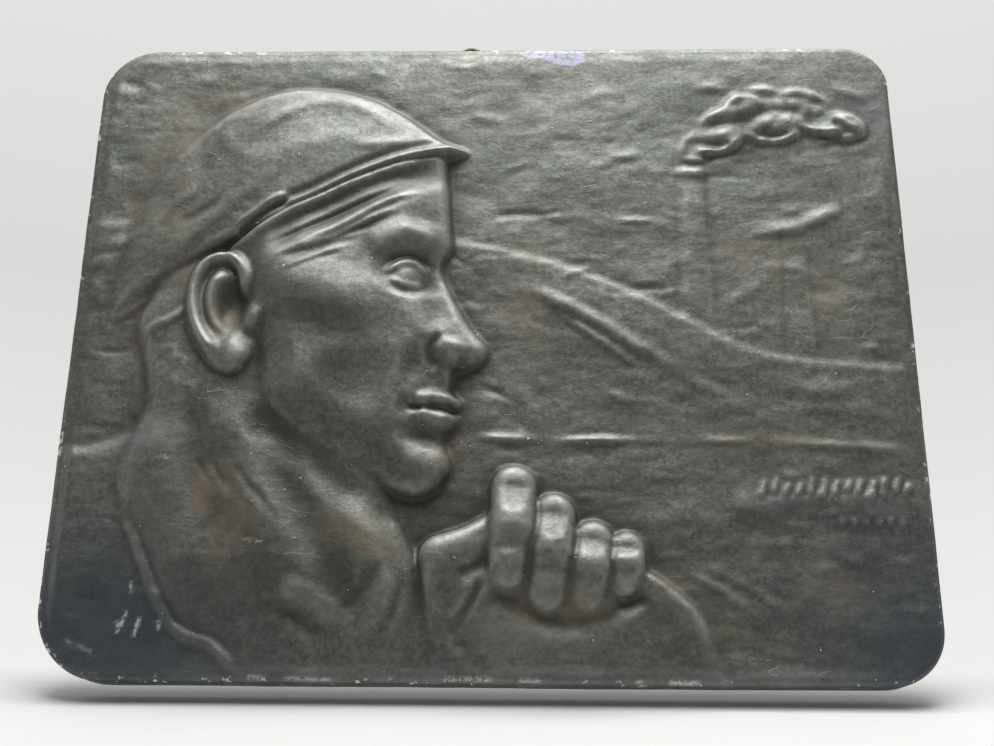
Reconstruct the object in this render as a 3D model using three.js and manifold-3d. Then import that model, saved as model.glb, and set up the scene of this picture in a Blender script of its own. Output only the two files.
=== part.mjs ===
// Relief plaque: a rounded rectangular casting with a capped head, a raised hand and a low landscape,
// hollow behind, with a wire loop on its top edge.
//
// Millimetres. X runs to the right, Z up, and the relief faces -Y. The wall plane is y = 0, and the
// origin is the middle of the top rim's back face. The relief is laid out in plate coordinates (x, z)
// from the middle of the plate.

import * as THREE from 'three';
import { mergeVertices } from 'three/addons/utils/BufferGeometryUtils.js';
import Module from 'manifold-3d';

const wasm = await Module();
wasm.setup();

// ---------- driving dimensions ----------

const WIDTH = 400;
const HEIGHT = 320;
const DEPTH = 16;              // wall plane to the flat field
const EDGE_ROLL = 3.2;         // rounding of the front edge
const EDGE_FADE = [0.6, 5.5];  // inside the rolled edge, where the relief starts and is at full height
const EDGE_WAVE = 0.5;         // how far the hand-made outline wanders
const CORNER = { topLeft: 28, topRight: 23, bottomRight: 26, bottomLeft: 33 };
const CORNER_STEPS = 7;
const SIDE_STEPS = 7;

const RIM = 7;                 // width of the rim around the hollow back
const WALL = 5;                // thickness of the field in front of the hollow
const DRAFT = 2;               // how much the hollow narrows towards its floor
const OVERCUT = 2;             // how far the hollow's cutter stands out behind the wall plane

// A deeper hollow behind the head: an oval, and its inset and depth at each level.
const POCKET = { x: -98, z: 35, across: 62, up: 88, turn: -6, sides: 28 };
const POCKET_LEVELS = [[-0.5, -1], [2, 3.6], [9, 6]];

const LOOP_WIRE = 1.4;         // radius of the wire
const LOOP_RADIUS = 6.2;       // middle of the wire to the middle of the eye
const LOOP_X = -12;
const LOOP_BACK = 3;           // wall plane to the middle of the wire
const LOOP_RISE = 0.2;         // foot of the wire to the middle of the eye
const FIT = 0.3;               // gap between the loop's feet and the plate

// The face is laid out in thirds: chin to nose, nose to brow, brow to hairline.
const THIRD = 60;
const CHIN = -77;
const FRONT = -22;             // foremost line of the forehead
const NOSE = CHIN + THIRD;
const BROW = CHIN + 2 * THIRD;
const HAIRLINE = CHIN + 3 * THIRD;
const MOUTH = NOSE - THIRD / 3;
const EYE = CHIN + 1.75 * THIRD;

// Sampling of the relief: square cells, halved where the surface leaves a flat cell by more than BEND,
// plus BEND_PER_HEIGHT for each millimetre that it stands above the field.
const SAMPLE = 1.25;
const COARSE = 16;             // samples along the side of the largest cell
const FINE = 2;                // samples along the side of the smallest
const BEND = 0.46;
const BEND_PER_HEIGHT = 0.08;

const PLATE_Z = RIM / 2 - HEIGHT / 2;   // middle of the plate above the origin

// ---------- helpers for a height over the plate ----------

const clamp = (t) => Math.min(Math.max(t, 0), 1);

const ease = (from, to, t) => {
  const u = clamp((t - from) / (to - from));
  return u * u * (3 - 2 * u);
};

const mix = (a, b, t) => a + (b - a) * t;

/** The larger of two heights, with the crease between them rounded over k. */
function softMax(a, b, k) {
  const h = clamp(0.5 + 0.5 * (a - b) / k);
  return mix(b, a, h) + k * h * (1 - h);
}

/** A smooth line through a few points, open or closed. */
function curve(points, steps, closed = false) {
  const knots = points.map(([x, z]) => new THREE.Vector2(x, z));
  if (closed) knots.push(knots[0].clone());
  const line = new THREE.SplineCurve(knots).getPoints(steps * (knots.length - 1));
  const box = new THREE.Box2().setFromPoints(line);
  return { line, box, closed };
}

/** Distance to the nearest point of a line, and how far along the line that is, 0 to 1. */
function nearest(x, z, { line }) {
  let best = Infinity;
  let along = 0;
  for (let i = 0; i + 1 < line.length; i++) {
    const a = line[i];
    const dx = line[i + 1].x - a.x;
    const dz = line[i + 1].y - a.y;
    const square = dx * dx + dz * dz || 1;
    const t = clamp(((x - a.x) * dx + (z - a.y) * dz) / square);
    const away = Math.hypot(x - a.x - t * dx, z - a.y - t * dz);
    if (away < best) {
      best = away;
      along = (i + t) / (line.length - 1);
    }
  }
  return [best, along];
}

/** Distance inside a closed outline, negative outside. Far outside it is only a large negative number. */
function depthIn(x, z, shape) {
  const { line, box } = shape;
  const reach = 6;
  if (x < box.min.x - reach || x > box.max.x + reach || z < box.min.y - reach || z > box.max.y + reach) {
    return -reach;
  }
  let inside = false;
  for (let i = 0, j = line.length - 1; i < line.length; j = i++) {
    const a = line[i];
    const b = line[j];
    if ((a.y > z) !== (b.y > z) && x < a.x + (z - a.y) * (b.x - a.x) / (b.y - a.y)) inside = !inside;
  }
  const [away] = nearest(x, z, shape);
  return inside ? away : -away;
}

/** A quarter-round shoulder: 0 at an outline, its full height once width inside it. */
const shoulder = (depth, width, height) => height * Math.sqrt(1 - (1 - clamp(depth / width)) ** 2);

/** 1 minus the square of the distance from the middle of a turned oval, in units of its radii. */
function oval(x, z, cx, cz, a, b, turn = 0) {
  const angle = THREE.MathUtils.degToRad(turn);
  const u = ((x - cx) * Math.cos(angle) + (z - cz) * Math.sin(angle)) / a;
  const v = ((z - cz) * Math.cos(angle) - (x - cx) * Math.sin(angle)) / b;
  return clamp(1 - u * u - v * v);
}

/** A smooth swelling of height 1. */
const mound = (...place) => oval(...place) ** 2;

/** A smooth ridge of height 1 along a line, fading towards its ends. */
function ridge(points, half, fade = 0.2) {
  const path = curve(points, 4);
  const box = path.box.clone().expandByScalar(half);
  return (x, z) => {
    if (x < box.min.x || x > box.max.x || z < box.min.y || z > box.max.y) return 0;
    const [away, along] = nearest(x, z, path);
    return (1 - clamp(away / half) ** 2) ** 2 * ease(0, fade, along) * ease(0, fade, 1 - along);
  };
}

/** Adds up [height, ridge] pairs at a point. */
const carve = (list, x, z) => list.reduce((sum, [height, form]) => sum + height * form(x, z), 0);

/** The value at t, 0 to 1, of evenly spaced numbers joined by straight lines. */
function spread(numbers, t) {
  const place = t * (numbers.length - 1);
  const i = Math.min(Math.floor(place), numbers.length - 2);
  return mix(numbers[i], numbers[i + 1], place - i);
}

/** The height of a form with round ends along a line, flatter across its top than a tube. */
function limb(x, z, { path, halves, heights }) {
  const [away, along] = nearest(x, z, path);
  const across = Math.sqrt(1 - clamp(away / spread(halves, along)) ** 2.6);
  return spread(heights, along) * (0.4 * ease(0, 0.45, across) + 0.6 * across);
}

const shifted = (points, dx, dz) => points.map(([x, z]) => [x + dx, z + dz]);

// ---------- background ----------

const hillLine = curve([[-60, 62], [0, 47], [34, 38], [72, 22], [104, 4], [140, -9], [205, -14]], 5);

const land = [
  [1.3, ridge([[6, 30], [44, 12], [84, -14], [124, -40]], 5)],
  [1.8, ridge([[-10, -49], [40, -50.5], [100, -50], [150, -52], [192, -55]], 3.6, 0.08)],
  [-0.9, ridge([[-10, -55], [60, -56], [150, -58]], 6)],
  [1.8, ridge([[62, -97], [110, -99.5], [150, -99], [196, -98]], 3.6, 0.06)],
  [-1.1, ridge([[66, -103], [120, -105], [194, -104]], 6, 0.1)],
  [1.2, ridge([[118, 30], [138, 40], [160, 42], [186, 54]], 6, 0.3)],
  [1.2, ridge([[112, 50], [132, 62], [158, 64]], 6, 0.3)],
  [1.2, ridge([[124, -20], [156, -24], [192, -22]], 5, 0.3)],
  [1.2, ridge([[118, -32], [150, -36], [190, -34]], 5, 0.3)],
];

// Each stack: middle, foot, top, half width at the foot and at the top.
const STACKS = [[98, 10, 90, 7.5, 5.2], [146, -8, 48, 6, 4.4]];

// Billows of smoke that leave the taller stack and drift right: rise, middle, radii and turn.
const drift = curve([[98, 96], [104, 108], [122, 118], [146, 116], [168, 124], [186, 116]], 4);
const billows = drift.line.slice(0, -1).flatMap((place, k) => [-1, 1].map((side) => {
  const swell = Math.sin(Math.PI * Math.min((k + 2) / 14, 1));
  const size = (6.2 + 4.6 * swell) * (0.95 + 0.2 * Math.sin(5.3 * k + side));
  const cx = place.x + 3 * Math.sin(2.7 * k + 1.3 * side);
  const cz = place.y + side * size * (0.55 + 0.2 * Math.sin(3.1 * k + side));
  const flat = size * (0.76 + 0.14 * Math.sin(4.1 * k + side));
  return [1.4 + 1.6 * swell, cx, cz, size, flat, 25 * Math.sin(1.9 * k + 2 * side)];
}));

function hillAt(x) {
  const { line } = hillLine;
  const i = line.findIndex((point) => point.x > x);
  if (i < 1) return line[0].y;
  return mix(line[i - 1].y, line[i].y, (x - line[i - 1].x) / (line[i].x - line[i - 1].x));
}

function stack(x, z, [cx, foot, top, footHalf, topHalf]) {
  const half = mix(footHalf, topHalf, (z - foot) / (top - foot));
  const away = Math.abs(x - cx);
  const body = 1.5 * ease(1.2, -0.8, away - half) * ease(-8, 8, z - foot) * ease(1, -1, z - top);
  const collar = ease(1.5, -0.5, away - half - 1) * ease(3, 1, Math.abs(z - top + 3));
  return body * (1 - 0.4 * Math.min(away / half, 1) ** 2) + collar;
}

function background(x, z) {
  const above = z - hillAt(x);
  let height = 0.5 * Math.sin(x / 31 + z / 47) * Math.sin(z / 23 + 1.3);
  height += 2 * ease(3, -3, above) - 2 * ease(1, -50, above) + carve(land, x, z);
  for (const place of STACKS) height += stack(x, z, place);
  for (const [rise, ...place] of billows) {
    const puff = Math.sqrt(oval(x, z, ...place));
    if (puff > 0) height = softMax(height, rise * puff + 0.4, 0.35);
  }
  return height;
}

// ---------- shirt and neck ----------

const shirtShape = curve([
  [-146, -20], [-158, -34], [-163, -43], [-175, -50], [-187, -54], [-208, -59], [-208, -170], [-30, -170],
  [-50, -100],
], 4, true);

const neckShape = curve([
  [-150, 40], [-165, 16], [-167, 4], [-164, -6], [-160, -20], [-159, -32], [-165, -48], [-171, -66],
  [-168, -82], [-158, -98], [-151, -112], [-145, -125], [-138, -135.5], [-130, -141], [-121, -143.5],
  [-115, -148.5], [-109, -154], [-96, -160], [-60, -166], [-24, -170], [-26, -120], [-36, -95],
  [-44, -72], [-60, -10], [-110, 45],
], 3, true);

const neckForms = [
  [2.8, ridge([[-122, -24], [-112, -62], [-92, -104], [-68, -142]], 15)],
  [-1.6, ridge([[-104, -40], [-90, -72], [-70, -106], [-56, -136]], 11)],
  [1.6, ridge([[-62, -74], [-52, -104], [-46, -140]], 12)],
  [1.4, ridge([[-150, -36], [-146, -78], [-130, -118]], 12, 0.25)],
  [-1.3, ridge([[-135, -24], [-133, -62], [-118, -104]], 9, 0.25)],
  [-3.2, ridge([[-112, -36], [-84, -58], [-56, -80], [-34, -90]], 12, 0.15)],
  [1.5, ridge([[-86, -124], [-76, -127], [-66, -133], [-58, -141]], 5)],
  [-1.2, ridge([[-90, -131], [-80, -134], [-70, -141]], 5)],
  [1.3, ridge([[-56, -140], [-47, -129], [-40, -114]], 5)],
];

const neckline = ridge([
  [-168, -79], [-158, -97], [-151, -112], [-145, -125], [-138, -135.5], [-130, -140.5], [-121, -143],
  [-115, -148.5], [-109, -154], [-100, -156],
], 3.4);

function neck(x, z) {
  const depth = depthIn(x, z, neckShape);
  const swell = clamp(1 - ((x + 100) / 110) ** 2 - ((z + 75) / 130) ** 2);
  return shoulder(depth, 9, 5.5) + 4.5 * swell * ease(0, 16, depth) + carve(neckForms, x, z);
}

// ---------- head ----------

const headShape = curve([
  [FRONT - 3, HAIRLINE], [FRONT + 1, BROW + 39], [FRONT + 3, BROW + 15], [FRONT + 4, BROW + 2],
  [FRONT - 1, BROW - 9], [FRONT + 5, BROW - 24], [FRONT + 14, BROW - 40], [FRONT + 21, NOSE + 11],
  [FRONT + 19, NOSE + 4], [FRONT + 11, NOSE], [FRONT + 5.5, NOSE - 2], [FRONT + 5, NOSE - 11],
  [FRONT + 9.5, MOUTH + 4.5], [FRONT + 8, MOUTH + 1], [FRONT + 4, MOUTH], [FRONT + 8, MOUTH - 3.5],
  [FRONT + 6, MOUTH - 9], [FRONT + 1.5, MOUTH - 14], [FRONT + 5, MOUTH - 24], [FRONT + 4, CHIN + 9],
  [FRONT - 3, CHIN + 1.5], [FRONT - 14, CHIN - 1], [FRONT - 32, CHIN + 6], [FRONT - 53, CHIN + 17],
  [FRONT - 72, CHIN + 30], [FRONT - 84, CHIN + 42], [FRONT - 90, NOSE], [FRONT - 98, 5],
  [FRONT - 104, 30], [FRONT - 112, 70], [FRONT - 100, 110], [FRONT - 70, 122], [FRONT - 30, 118],
], 4, true);

const upperLid = [
  [FRONT - 7.5, EYE - 1], [FRONT - 10, EYE + 4], [FRONT - 15, EYE + 6.3], [FRONT - 21, EYE + 4.5],
  [FRONT - 28, EYE - 1.5],
];
const lowerLid = [
  [FRONT - 9, EYE - 4], [FRONT - 14, EYE - 6.2], [FRONT - 20, EYE - 5.6], [FRONT - 26.5, EYE - 2.2],
];

const faceRidges = [
  [2.4, ridge([
    [FRONT + 1, BROW + 1], [FRONT - 12, BROW + 5], [FRONT - 27, BROW + 3], [FRONT - 38, BROW - 5],
  ], 10)],
  [1.9, ridge(upperLid, 2.6)],
  [-1.3, ridge(upperLid.map(([x, z]) => [x, z + 4.2]), 2.4)],
  [1.1, ridge(lowerLid, 2.2)],
  [-2, ridge([[FRONT - 6, EYE + 2], [FRONT - 2, BROW - 34], [FRONT + 1, NOSE + 16]], 9, 0.3)],
  [-1.6, ridge([
    [FRONT + 1, NOSE + 15.5], [FRONT - 5, NOSE + 10], [FRONT - 5.5, NOSE + 3], [FRONT - 1, NOSE - 1.5],
  ], 3.2)],
  [2.5, ridge([[FRONT + 8, MOUTH + 4], [FRONT - 1, MOUTH + 4.6], [FRONT - 12, MOUTH + 1.6]], 5.5)],
  [2.7, ridge([[FRONT + 7, MOUTH - 4.4], [FRONT - 2, MOUTH - 5], [FRONT - 11, MOUTH - 2]], 5.5)],
  [-2.8, ridge([
    [FRONT + 8, MOUTH], [FRONT, MOUTH + 0.8], [FRONT - 7, MOUTH], [FRONT - 15.5, MOUTH - 0.6],
  ], 2.2, 0.1)],
  [3.4, ridge([
    [FRONT - 18, EYE - 19], [FRONT - 40, EYE - 15], [FRONT - 66, EYE - 8], [FRONT - 88, EYE - 4],
  ], 19, 0.4)],
  [1.4, ridge([[FRONT - 22, CHIN + 7], [FRONT - 45, CHIN + 16], [FRONT - 70, CHIN + 32]], 11, 0.3)],
  [-0.9, ridge([[FRONT - 8, NOSE + 7], [FRONT - 16, NOSE - 6], [FRONT - 20, MOUTH - 2]], 6, 0.35)],
];

// Each swelling or hollow: height, middle, two radii, turn.
const faceMounds = [
  [-4.6, FRONT - 16, EYE + 1, 21, 15, -6], [4.6, FRONT - 16.5, EYE, 11, 10, 0],
  [3.0, FRONT + 4.5, NOSE + 7, 10, 8.5, -12], [-3.0, FRONT + 10, NOSE + 2.5, 5, 2.8, 14],
  [-1.2, FRONT - 16.5, MOUTH - 1, 5, 6, 0], [-2.0, FRONT - 5, MOUTH - 15, 14, 6.5, -8],
  [2.6, FRONT - 7, CHIN + 13, 18, 14, -10], [-2.4, FRONT - 44, MOUTH + 9, 30, 20, 32],
  [-1.6, FRONT - 48, BROW + 10, 24, 22, 0], [2.2, FRONT - 72, MOUTH + 4, 26, 34, 20],
];

// Locks of hair combed back under the cap.
const locks = [
  [1.5, 3.8, [[-38, 80], [-62, 69], [-88, 55], [-112, 42]]],
  [1.5, 4.0, [[-40, 64], [-62, 54], [-84, 43], [-104, 36]]],
  [1.0, 3.4, [[-58, 50], [-74, 44], [-96, 33]]],
].flatMap(([height, half, line]) => [
  [height, ridge(line, half, 0.3)],
  [-0.8 * height, ridge(shifted(line, 0.5, -1.15 * half), 0.8 * half, 0.3)],
]);

// The recess under the cap's brim.
const brimHollow = ridge([
  [-17, 86.5], [-27, 84.5], [-44, 78.5], [-65, 68.5], [-80, 60.5], [-94, 53.5], [-108, 44.5],
  [-121, 35.5],
], 12, 0.25);

function head(x, z) {
  const depth = depthIn(x, z, headShape);
  if (depth < -3) return -9;
  const broad = clamp(1 - ((x - FRONT + 68) / 118) ** 2 - ((z - 20) / 140) ** 2);
  let forms = carve(faceRidges, x, z);
  for (const [height, ...place] of faceMounds) forms += height * mound(x, z, ...place);
  const base = shoulder(depth, 6, 7) + 11 * broad * ease(-2, 26, depth);
  return base + forms * ease(-1, 5, depth) + carve(locks, x, z) - 5 * brimHollow(x, z);
}

// ---------- ear ----------

const earShape = curve([
  [-115, 24], [-119, 37], [-129, 41], [-139, 36], [-143.5, 22], [-142, 5], [-135, -9], [-126, -19],
  [-115, -19], [-108, -9], [-106, 6], [-110, 15],
], 3, true);

const earForms = [
  [3.4, ridge([
    [-116, 15], [-116, 28], [-121, 36], [-129, 38], [-137, 32], [-140, 20], [-138, 6], [-132, -6],
    [-125, -13],
  ], 4.6, 0.08)],
  [2.4, ridge([[-122, 27], [-129, 25], [-131, 15], [-128, 4], [-121, -2]], 4.4)],
];
const earMounds = [
  [-5.5, -122, 11, 12, 20, -12],
  [2.6, -111, 6, 7, 10, -10],
  [2.0, -117.5, -11, 10, 10, -10],
];

function ear(x, z) {
  const towardsBack = ease(-106, -126, x + (z - 15) * 0.22);
  let height = shoulder(depthIn(x, z, earShape), 3.5, 4.2) * towardsBack + carve(earForms, x, z);
  for (const [rise, ...place] of earMounds) height += rise * mound(x, z, ...place);
  return height;
}

// ---------- cap ----------

const BRIM = [
  [-14, 95], [-30, 91.5], [-47, 85.5], [-68, 75.5], [-83, 67.5], [-97, 60.5], [-111, 51.5], [-126, 42.5],
  [-143, 30.5], [-161, 18.5], [-182, 5],
];
const CROWN = [
  [-12, 99], [-26, 105.5], [-42, 118], [-60, 128], [-80, 133.5], [-99, 134.5], [-118, 130], [-138, 120.5],
  [-155, 107], [-168, 90], [-177, 66], [-182, 40], [-185, 14],
];
const crownLine = curve(CROWN, 3);
const capShape = curve([...CROWN, ...BRIM.toReversed()], 3, true);

const capForms = [
  [2.0, ridge(shifted(BRIM.slice(0, 8), 0, 2.2), 4, 0.06)],
  [1.0, ridge(shifted(BRIM.slice(7), 0, 1.8), 3, 0.15)],
  [-1.5, ridge(shifted(BRIM.slice(0, 7), -1, 7.4), 3.6)],
  [1.7, ridge([[-120, 100], [-106, 114], [-88, 123], [-68, 122], [-50, 110], [-40, 106]], 4)],
  [-1.5, ridge([[-116, 94], [-100, 105], [-80, 111], [-60, 108]], 9)],
  [-2.6, ridge([[-97, 66], [-105, 62.5], [-116, 54.5], [-122, 50]], 2.6, 0.15)],
  [1.1, ridge([[-166, 32], [-146, 50], [-124, 68], [-104, 84]], 6, 0.3)],
  [-1.0, ridge([[-160, 28], [-142, 42], [-122, 58]], 6, 0.3)],
];

function cap(x, z, depth) {
  if (depth < -3) return -9;
  const towardsBack = ease(-96, -172, x);
  const [fromCrown] = nearest(x, z, crownLine);
  const swell = Math.sqrt(1 - (1 - clamp(fromCrown / 44)) ** 2);
  const edge = shoulder(depth, 3 + 6 * towardsBack, 3);
  return edge + (10.5 - 6 * towardsBack) * swell * ease(0, 4, depth) + carve(capForms, x, z);
}

// ---------- hand ----------

const palmShape = curve([
  [-30, -102], [-20, -97], [0, -90], [36, -100], [64, -107], [78, -115], [88, -123], [95, -131.5],
  [98, -142], [99, -172], [-18, -172], [-26, -147], [-30, -122],
], 3, true);

const palmForms = [
  [2.2, ridge([[-4, -124], [14, -130], [36, -142], [56, -160]], 13)],
  [-1.9, ridge([[0, -112], [-6, -122], [-13, -134]], 4, 0.25)],
  [-2.2, ridge([[-15, -116], [0, -109], [10, -112]], 7, 0.25)],
  [-1.4, ridge([[10, -150], [30, -152], [52, -166]], 9, 0.25)],
  [1.8, ridge([[66, -109], [78, -116.5], [87, -124.5], [93, -133], [95.5, -146]], 4.5, 0.15)],
  [-1.6, ridge([[50, -122], [68, -125], [82, -138]], 8, 0.25)],
];

const thumb = [
  { path: curve([[-20.5, -105], [-8, -100], [5, -93]], 4), halves: [10, 9, 9], heights: [12.5, 11.5, 10] },
  { path: curve([[-20, -107], [-18, -126], [-13, -152]], 4), halves: [10, 9.5, 12], heights: [12, 9, 5] },
];

// Each finger: knuckle, tip, half width, and how far its middle joint stands out.
const fingers = [
  [[11.6, -74], [9, -108.5], 9.9, 17.5],
  [[28.8, -86.5], [26.5, -118], 9.4, 16.5],
  [[45.8, -98], [42, -119.2], 8.4, 15],
  [[60.2, -101.4], [58.4, -113], 7.4, 13.5],
].map(([[x0, z0], [x1, z1], half, rise]) => {
  const joint = [mix(x0, x1, 0.55) + 0.6, mix(z0, z1, 0.55)];
  const crease = [mix(x0, x1, 0.6), mix(z0, z1, 0.6)];
  const form = {
    path: curve([[x0, z0], joint, [x1, z1]], 4),
    halves: [1, 0.96, 0.98, 1.03, 0.97, 0.9, 0.84].map((share) => share * half),
    heights: [0.66, 0.78, 0.92, 1, 0.84, 0.7, 0.6].map((share) => share * rise),
  };
  const fold = ridge([
    [crease[0] - 0.85 * half, crease[1] + 1.4], [crease[0], crease[1] - 0.8],
    [crease[0] + 0.85 * half, crease[1] + 1.2],
  ], 2.4);
  return { form, fold };
});

function palm(x, z) {
  const hollow = 1.5 * mound(x, z, 72, -134, 18, 12, -40);
  const heel = 3.2 * mound(x, z, -8, -120, 34, 26);
  return shoulder(depthIn(x, z, palmShape), 8, 8) + heel - hollow + carve(palmForms, x, z);
}

// ---------- the whole relief ----------

function relief(x, z) {
  let height = background(x, z);
  height = softMax(height, shoulder(depthIn(x, z, shirtShape), 9, 3.6) - 0.2, 1.5);
  height = softMax(height, neck(x, z), 1.2);
  const capDepth = depthIn(x, z, capShape);
  const covered = ease(0.5, 4, capDepth);
  height = softMax(height, head(x, z) - 14 * covered, 1) + ear(x, z) * (1 - covered);
  height = softMax(height, cap(x, z, capDepth), 0.6);
  height = softMax(height, palm(x, z), 1.5);
  for (const part of thumb) height = softMax(height, limb(x, z, part), 1.2);
  for (const { form, fold } of fingers) {
    const top = limb(x, z, form) - 1.5 * fold(x, z);
    if (top > 0.3) height = softMax(height, top, 0.6);
  }
  const sinking = 1 - 0.78 * ease(-104, -154, z);
  return height * sinking + 1.5 * neckline(x, z);
}

/** Depth of a point inside the plain rounded rectangle. */
function depthInPlate(x, z) {
  const top = x < 0 ? CORNER.topLeft : CORNER.topRight;
  const bottom = x < 0 ? CORNER.bottomLeft : CORNER.bottomRight;
  const corner = z > 0 ? top : bottom;
  const dx = Math.abs(x) - WIDTH / 2 + corner;
  const dz = Math.abs(z) - HEIGHT / 2 + corner;
  return corner - Math.hypot(Math.max(dx, 0), Math.max(dz, 0)) - Math.min(Math.max(dx, dz), 0);
}

/** The relief sampled on a square grid, sunk to the field along the edge and softened like a casting. */
function sampleRelief() {
  const columns = Math.round(WIDTH / SAMPLE) + 1;
  const rows = Math.round(HEIGHT / SAMPLE) + 1;
  let heights = new Float64Array(columns * rows);
  for (let j = 0; j < rows; j++) {
    for (let i = 0; i < columns; i++) {
      const x = i * SAMPLE - WIDTH / 2;
      const z = j * SAMPLE - HEIGHT / 2;
      const rising = ease(EDGE_ROLL + EDGE_FADE[0], EDGE_ROLL + EDGE_FADE[1], depthInPlate(x, z));
      heights[j * columns + i] = relief(x, z) * rising;
    }
  }
  const within = (k, count) => Math.min(Math.max(k, 0), count - 1);
  const at = (i, j) => within(j, rows) * columns + within(i, columns);
  for (const [di, dj] of [[1, 0], [0, 1]]) {
    heights = heights.map((height, n) => {
      const i = n % columns;
      const j = (n - i) / columns;
      return (2 * height + heights[at(i - di, j - dj)] + heights[at(i + di, j + dj)]) / 4;
    });
  }
  return { heights, columns, rows };
}

/** Cells of a quadtree over the samples, as [column, row, size]. Neighbours are at most twice as large. */
function splitCells({ heights, columns, rows }) {
  const height = (i, j) => heights[j * columns + i];
  const bends = ([i, j, size]) => {
    const corners = [height(i, j), height(i + size, j), height(i, j + size), height(i + size, j + size)];
    const allowed = BEND + BEND_PER_HEIGHT * Math.max(...corners);
    for (let b = 0; b <= size; b++) {
      for (let a = 0; a <= size; a++) {
        const low = mix(corners[0], corners[1], a / size);
        const high = mix(corners[2], corners[3], a / size);
        if (Math.abs(height(i + a, j + b) - mix(low, high, b / size)) > allowed) return true;
      }
    }
    return false;
  };
  const sizeAt = new Uint8Array(columns * rows);
  const leaves = new Map();
  const add = (cell) => {
    const [i, j, size] = cell;
    leaves.set(`${i},${j}`, cell);
    for (let b = 0; b < size; b++) sizeAt.fill(size, (j + b) * columns + i, (j + b) * columns + i + size);
  };
  const split = ([i, j, size]) => {
    leaves.delete(`${i},${j}`);
    const half = size / 2;
    const parts = [[i, j, half], [i + half, j, half], [i, j + half, half], [i + half, j + half, half]];
    parts.forEach(add);
    return parts;
  };
  const waiting = [];
  for (let j = 0; j + 1 < rows; j += COARSE) {
    for (let i = 0; i + 1 < columns; i += COARSE) {
      add([i, j, COARSE]);
      waiting.push([i, j, COARSE]);
    }
  }
  while (waiting.length) {
    const cell = waiting.pop();
    if (cell[2] > FINE && bends(cell)) waiting.push(...split(cell));
  }
  for (let changed = true; changed;) {
    changed = false;
    for (const [i, j, size] of [...leaves.values()]) {
      if (size <= FINE) continue;
      const around = [];
      for (let k = 0; k < size; k++) {
        around.push([i - 1, j + k], [i + size, j + k], [i + k, j - 1], [i + k, j + size]);
      }
      const small = around.some(([a, b]) => {
        const inGrid = a >= 0 && b >= 0 && a < columns - 1 && b < rows - 1;
        return inGrid && sizeAt[b * columns + a] < size / 2;
      });
      if (small) {
        split([i, j, size]);
        changed = true;
      }
    }
  }
  return [...leaves.values()];
}

/** A closed block whose front is the relief and whose back lies behind the wall plane. */
function reliefBlock() {
  const samples = sampleRelief();
  const { heights, columns, rows } = samples;
  const cells = splitCells(samples);
  const used = new Set();
  for (const [i, j, size] of cells) {
    for (const [a, b] of [[0, 0], [size, 0], [size, size], [0, size]]) used.add((j + b) * columns + i + a);
  }
  const point = (n, back = false) => {
    const x = (n % columns) * SAMPLE - WIDTH / 2;
    const z = Math.floor(n / columns) * SAMPLE - HEIGHT / 2;
    return [x, back ? 1 : -DEPTH - heights[n], z];
  };
  const triangles = [];
  const rim = [];
  const push = (a, b, c) => triangles.push(...a, ...b, ...c);
  for (const [i, j, size] of cells) {
    const corners = [[i, j], [i + size, j], [i + size, j + size], [i, j + size]];
    const ring = [];
    corners.forEach(([a, b], k) => {
      const [c, d] = corners[(k + 1) % 4];
      const middle = (b + d) / 2 * columns + (a + c) / 2;
      ring.push(b * columns + a);
      if (used.has(middle)) ring.push(middle);
    });
    if (ring.length === 4) {
      const fall = (k) => Math.abs(heights[ring[k]] - heights[ring[k + 2]]);
      const [a, b, c, d] = fall(0) < fall(1) ? ring : [ring[1], ring[2], ring[3], ring[0]];
      push(point(a), point(b), point(c));
      push(point(a), point(c), point(d));
    } else {
      const middle = (j + size / 2) * columns + i + size / 2;
      ring.forEach((n, k) => push(point(middle), point(n), point(ring[(k + 1) % ring.length])));
    }
    ring.forEach((n, k) => {
      const m = ring[(k + 1) % ring.length];
      const side = (value, last) => value === 0 || value === last;
      const sameColumn = n % columns === m % columns && side(n % columns, columns - 1);
      const [row, nextRow] = [Math.floor(n / columns), Math.floor(m / columns)];
      if (sameColumn || (row === nextRow && side(row, rows - 1))) rim.push([n, m]);
    });
  }
  for (const [n, m] of rim) {
    push(point(m), point(n), point(n, true));
    push(point(m), point(n, true), point(m, true));
    push(point(m, true), point(n, true), [0, 1, 0]);
  }
  return solidOf(triangles);
}

// ---------- solids ----------

/** A manifold solid from a flat list of triangle corners or from a three.js geometry. */
function solidOf(source) {
  let geometry = source;
  if (Array.isArray(source)) {
    geometry = new THREE.BufferGeometry();
    geometry.setAttribute('position', new THREE.Float32BufferAttribute(source, 3));
  } else {
    geometry = source.clone();
    geometry.deleteAttribute('normal');
    geometry.deleteAttribute('uv');
  }
  geometry = mergeVertices(geometry, 1e-4);
  return new wasm.Manifold(new wasm.Mesh({
    numProp: 3,
    vertProperties: new Float32Array(geometry.attributes.position.array),
    triVerts: new Uint32Array(geometry.index.array),
  }));
}

function geometryOf(solid) {
  const mesh = solid.getMesh();
  const geometry = new THREE.BufferGeometry();
  geometry.setAttribute('position', new THREE.BufferAttribute(mesh.vertProperties, 3));
  geometry.setIndex(new THREE.BufferAttribute(mesh.triVerts, 1));
  return geometry;
}

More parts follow.
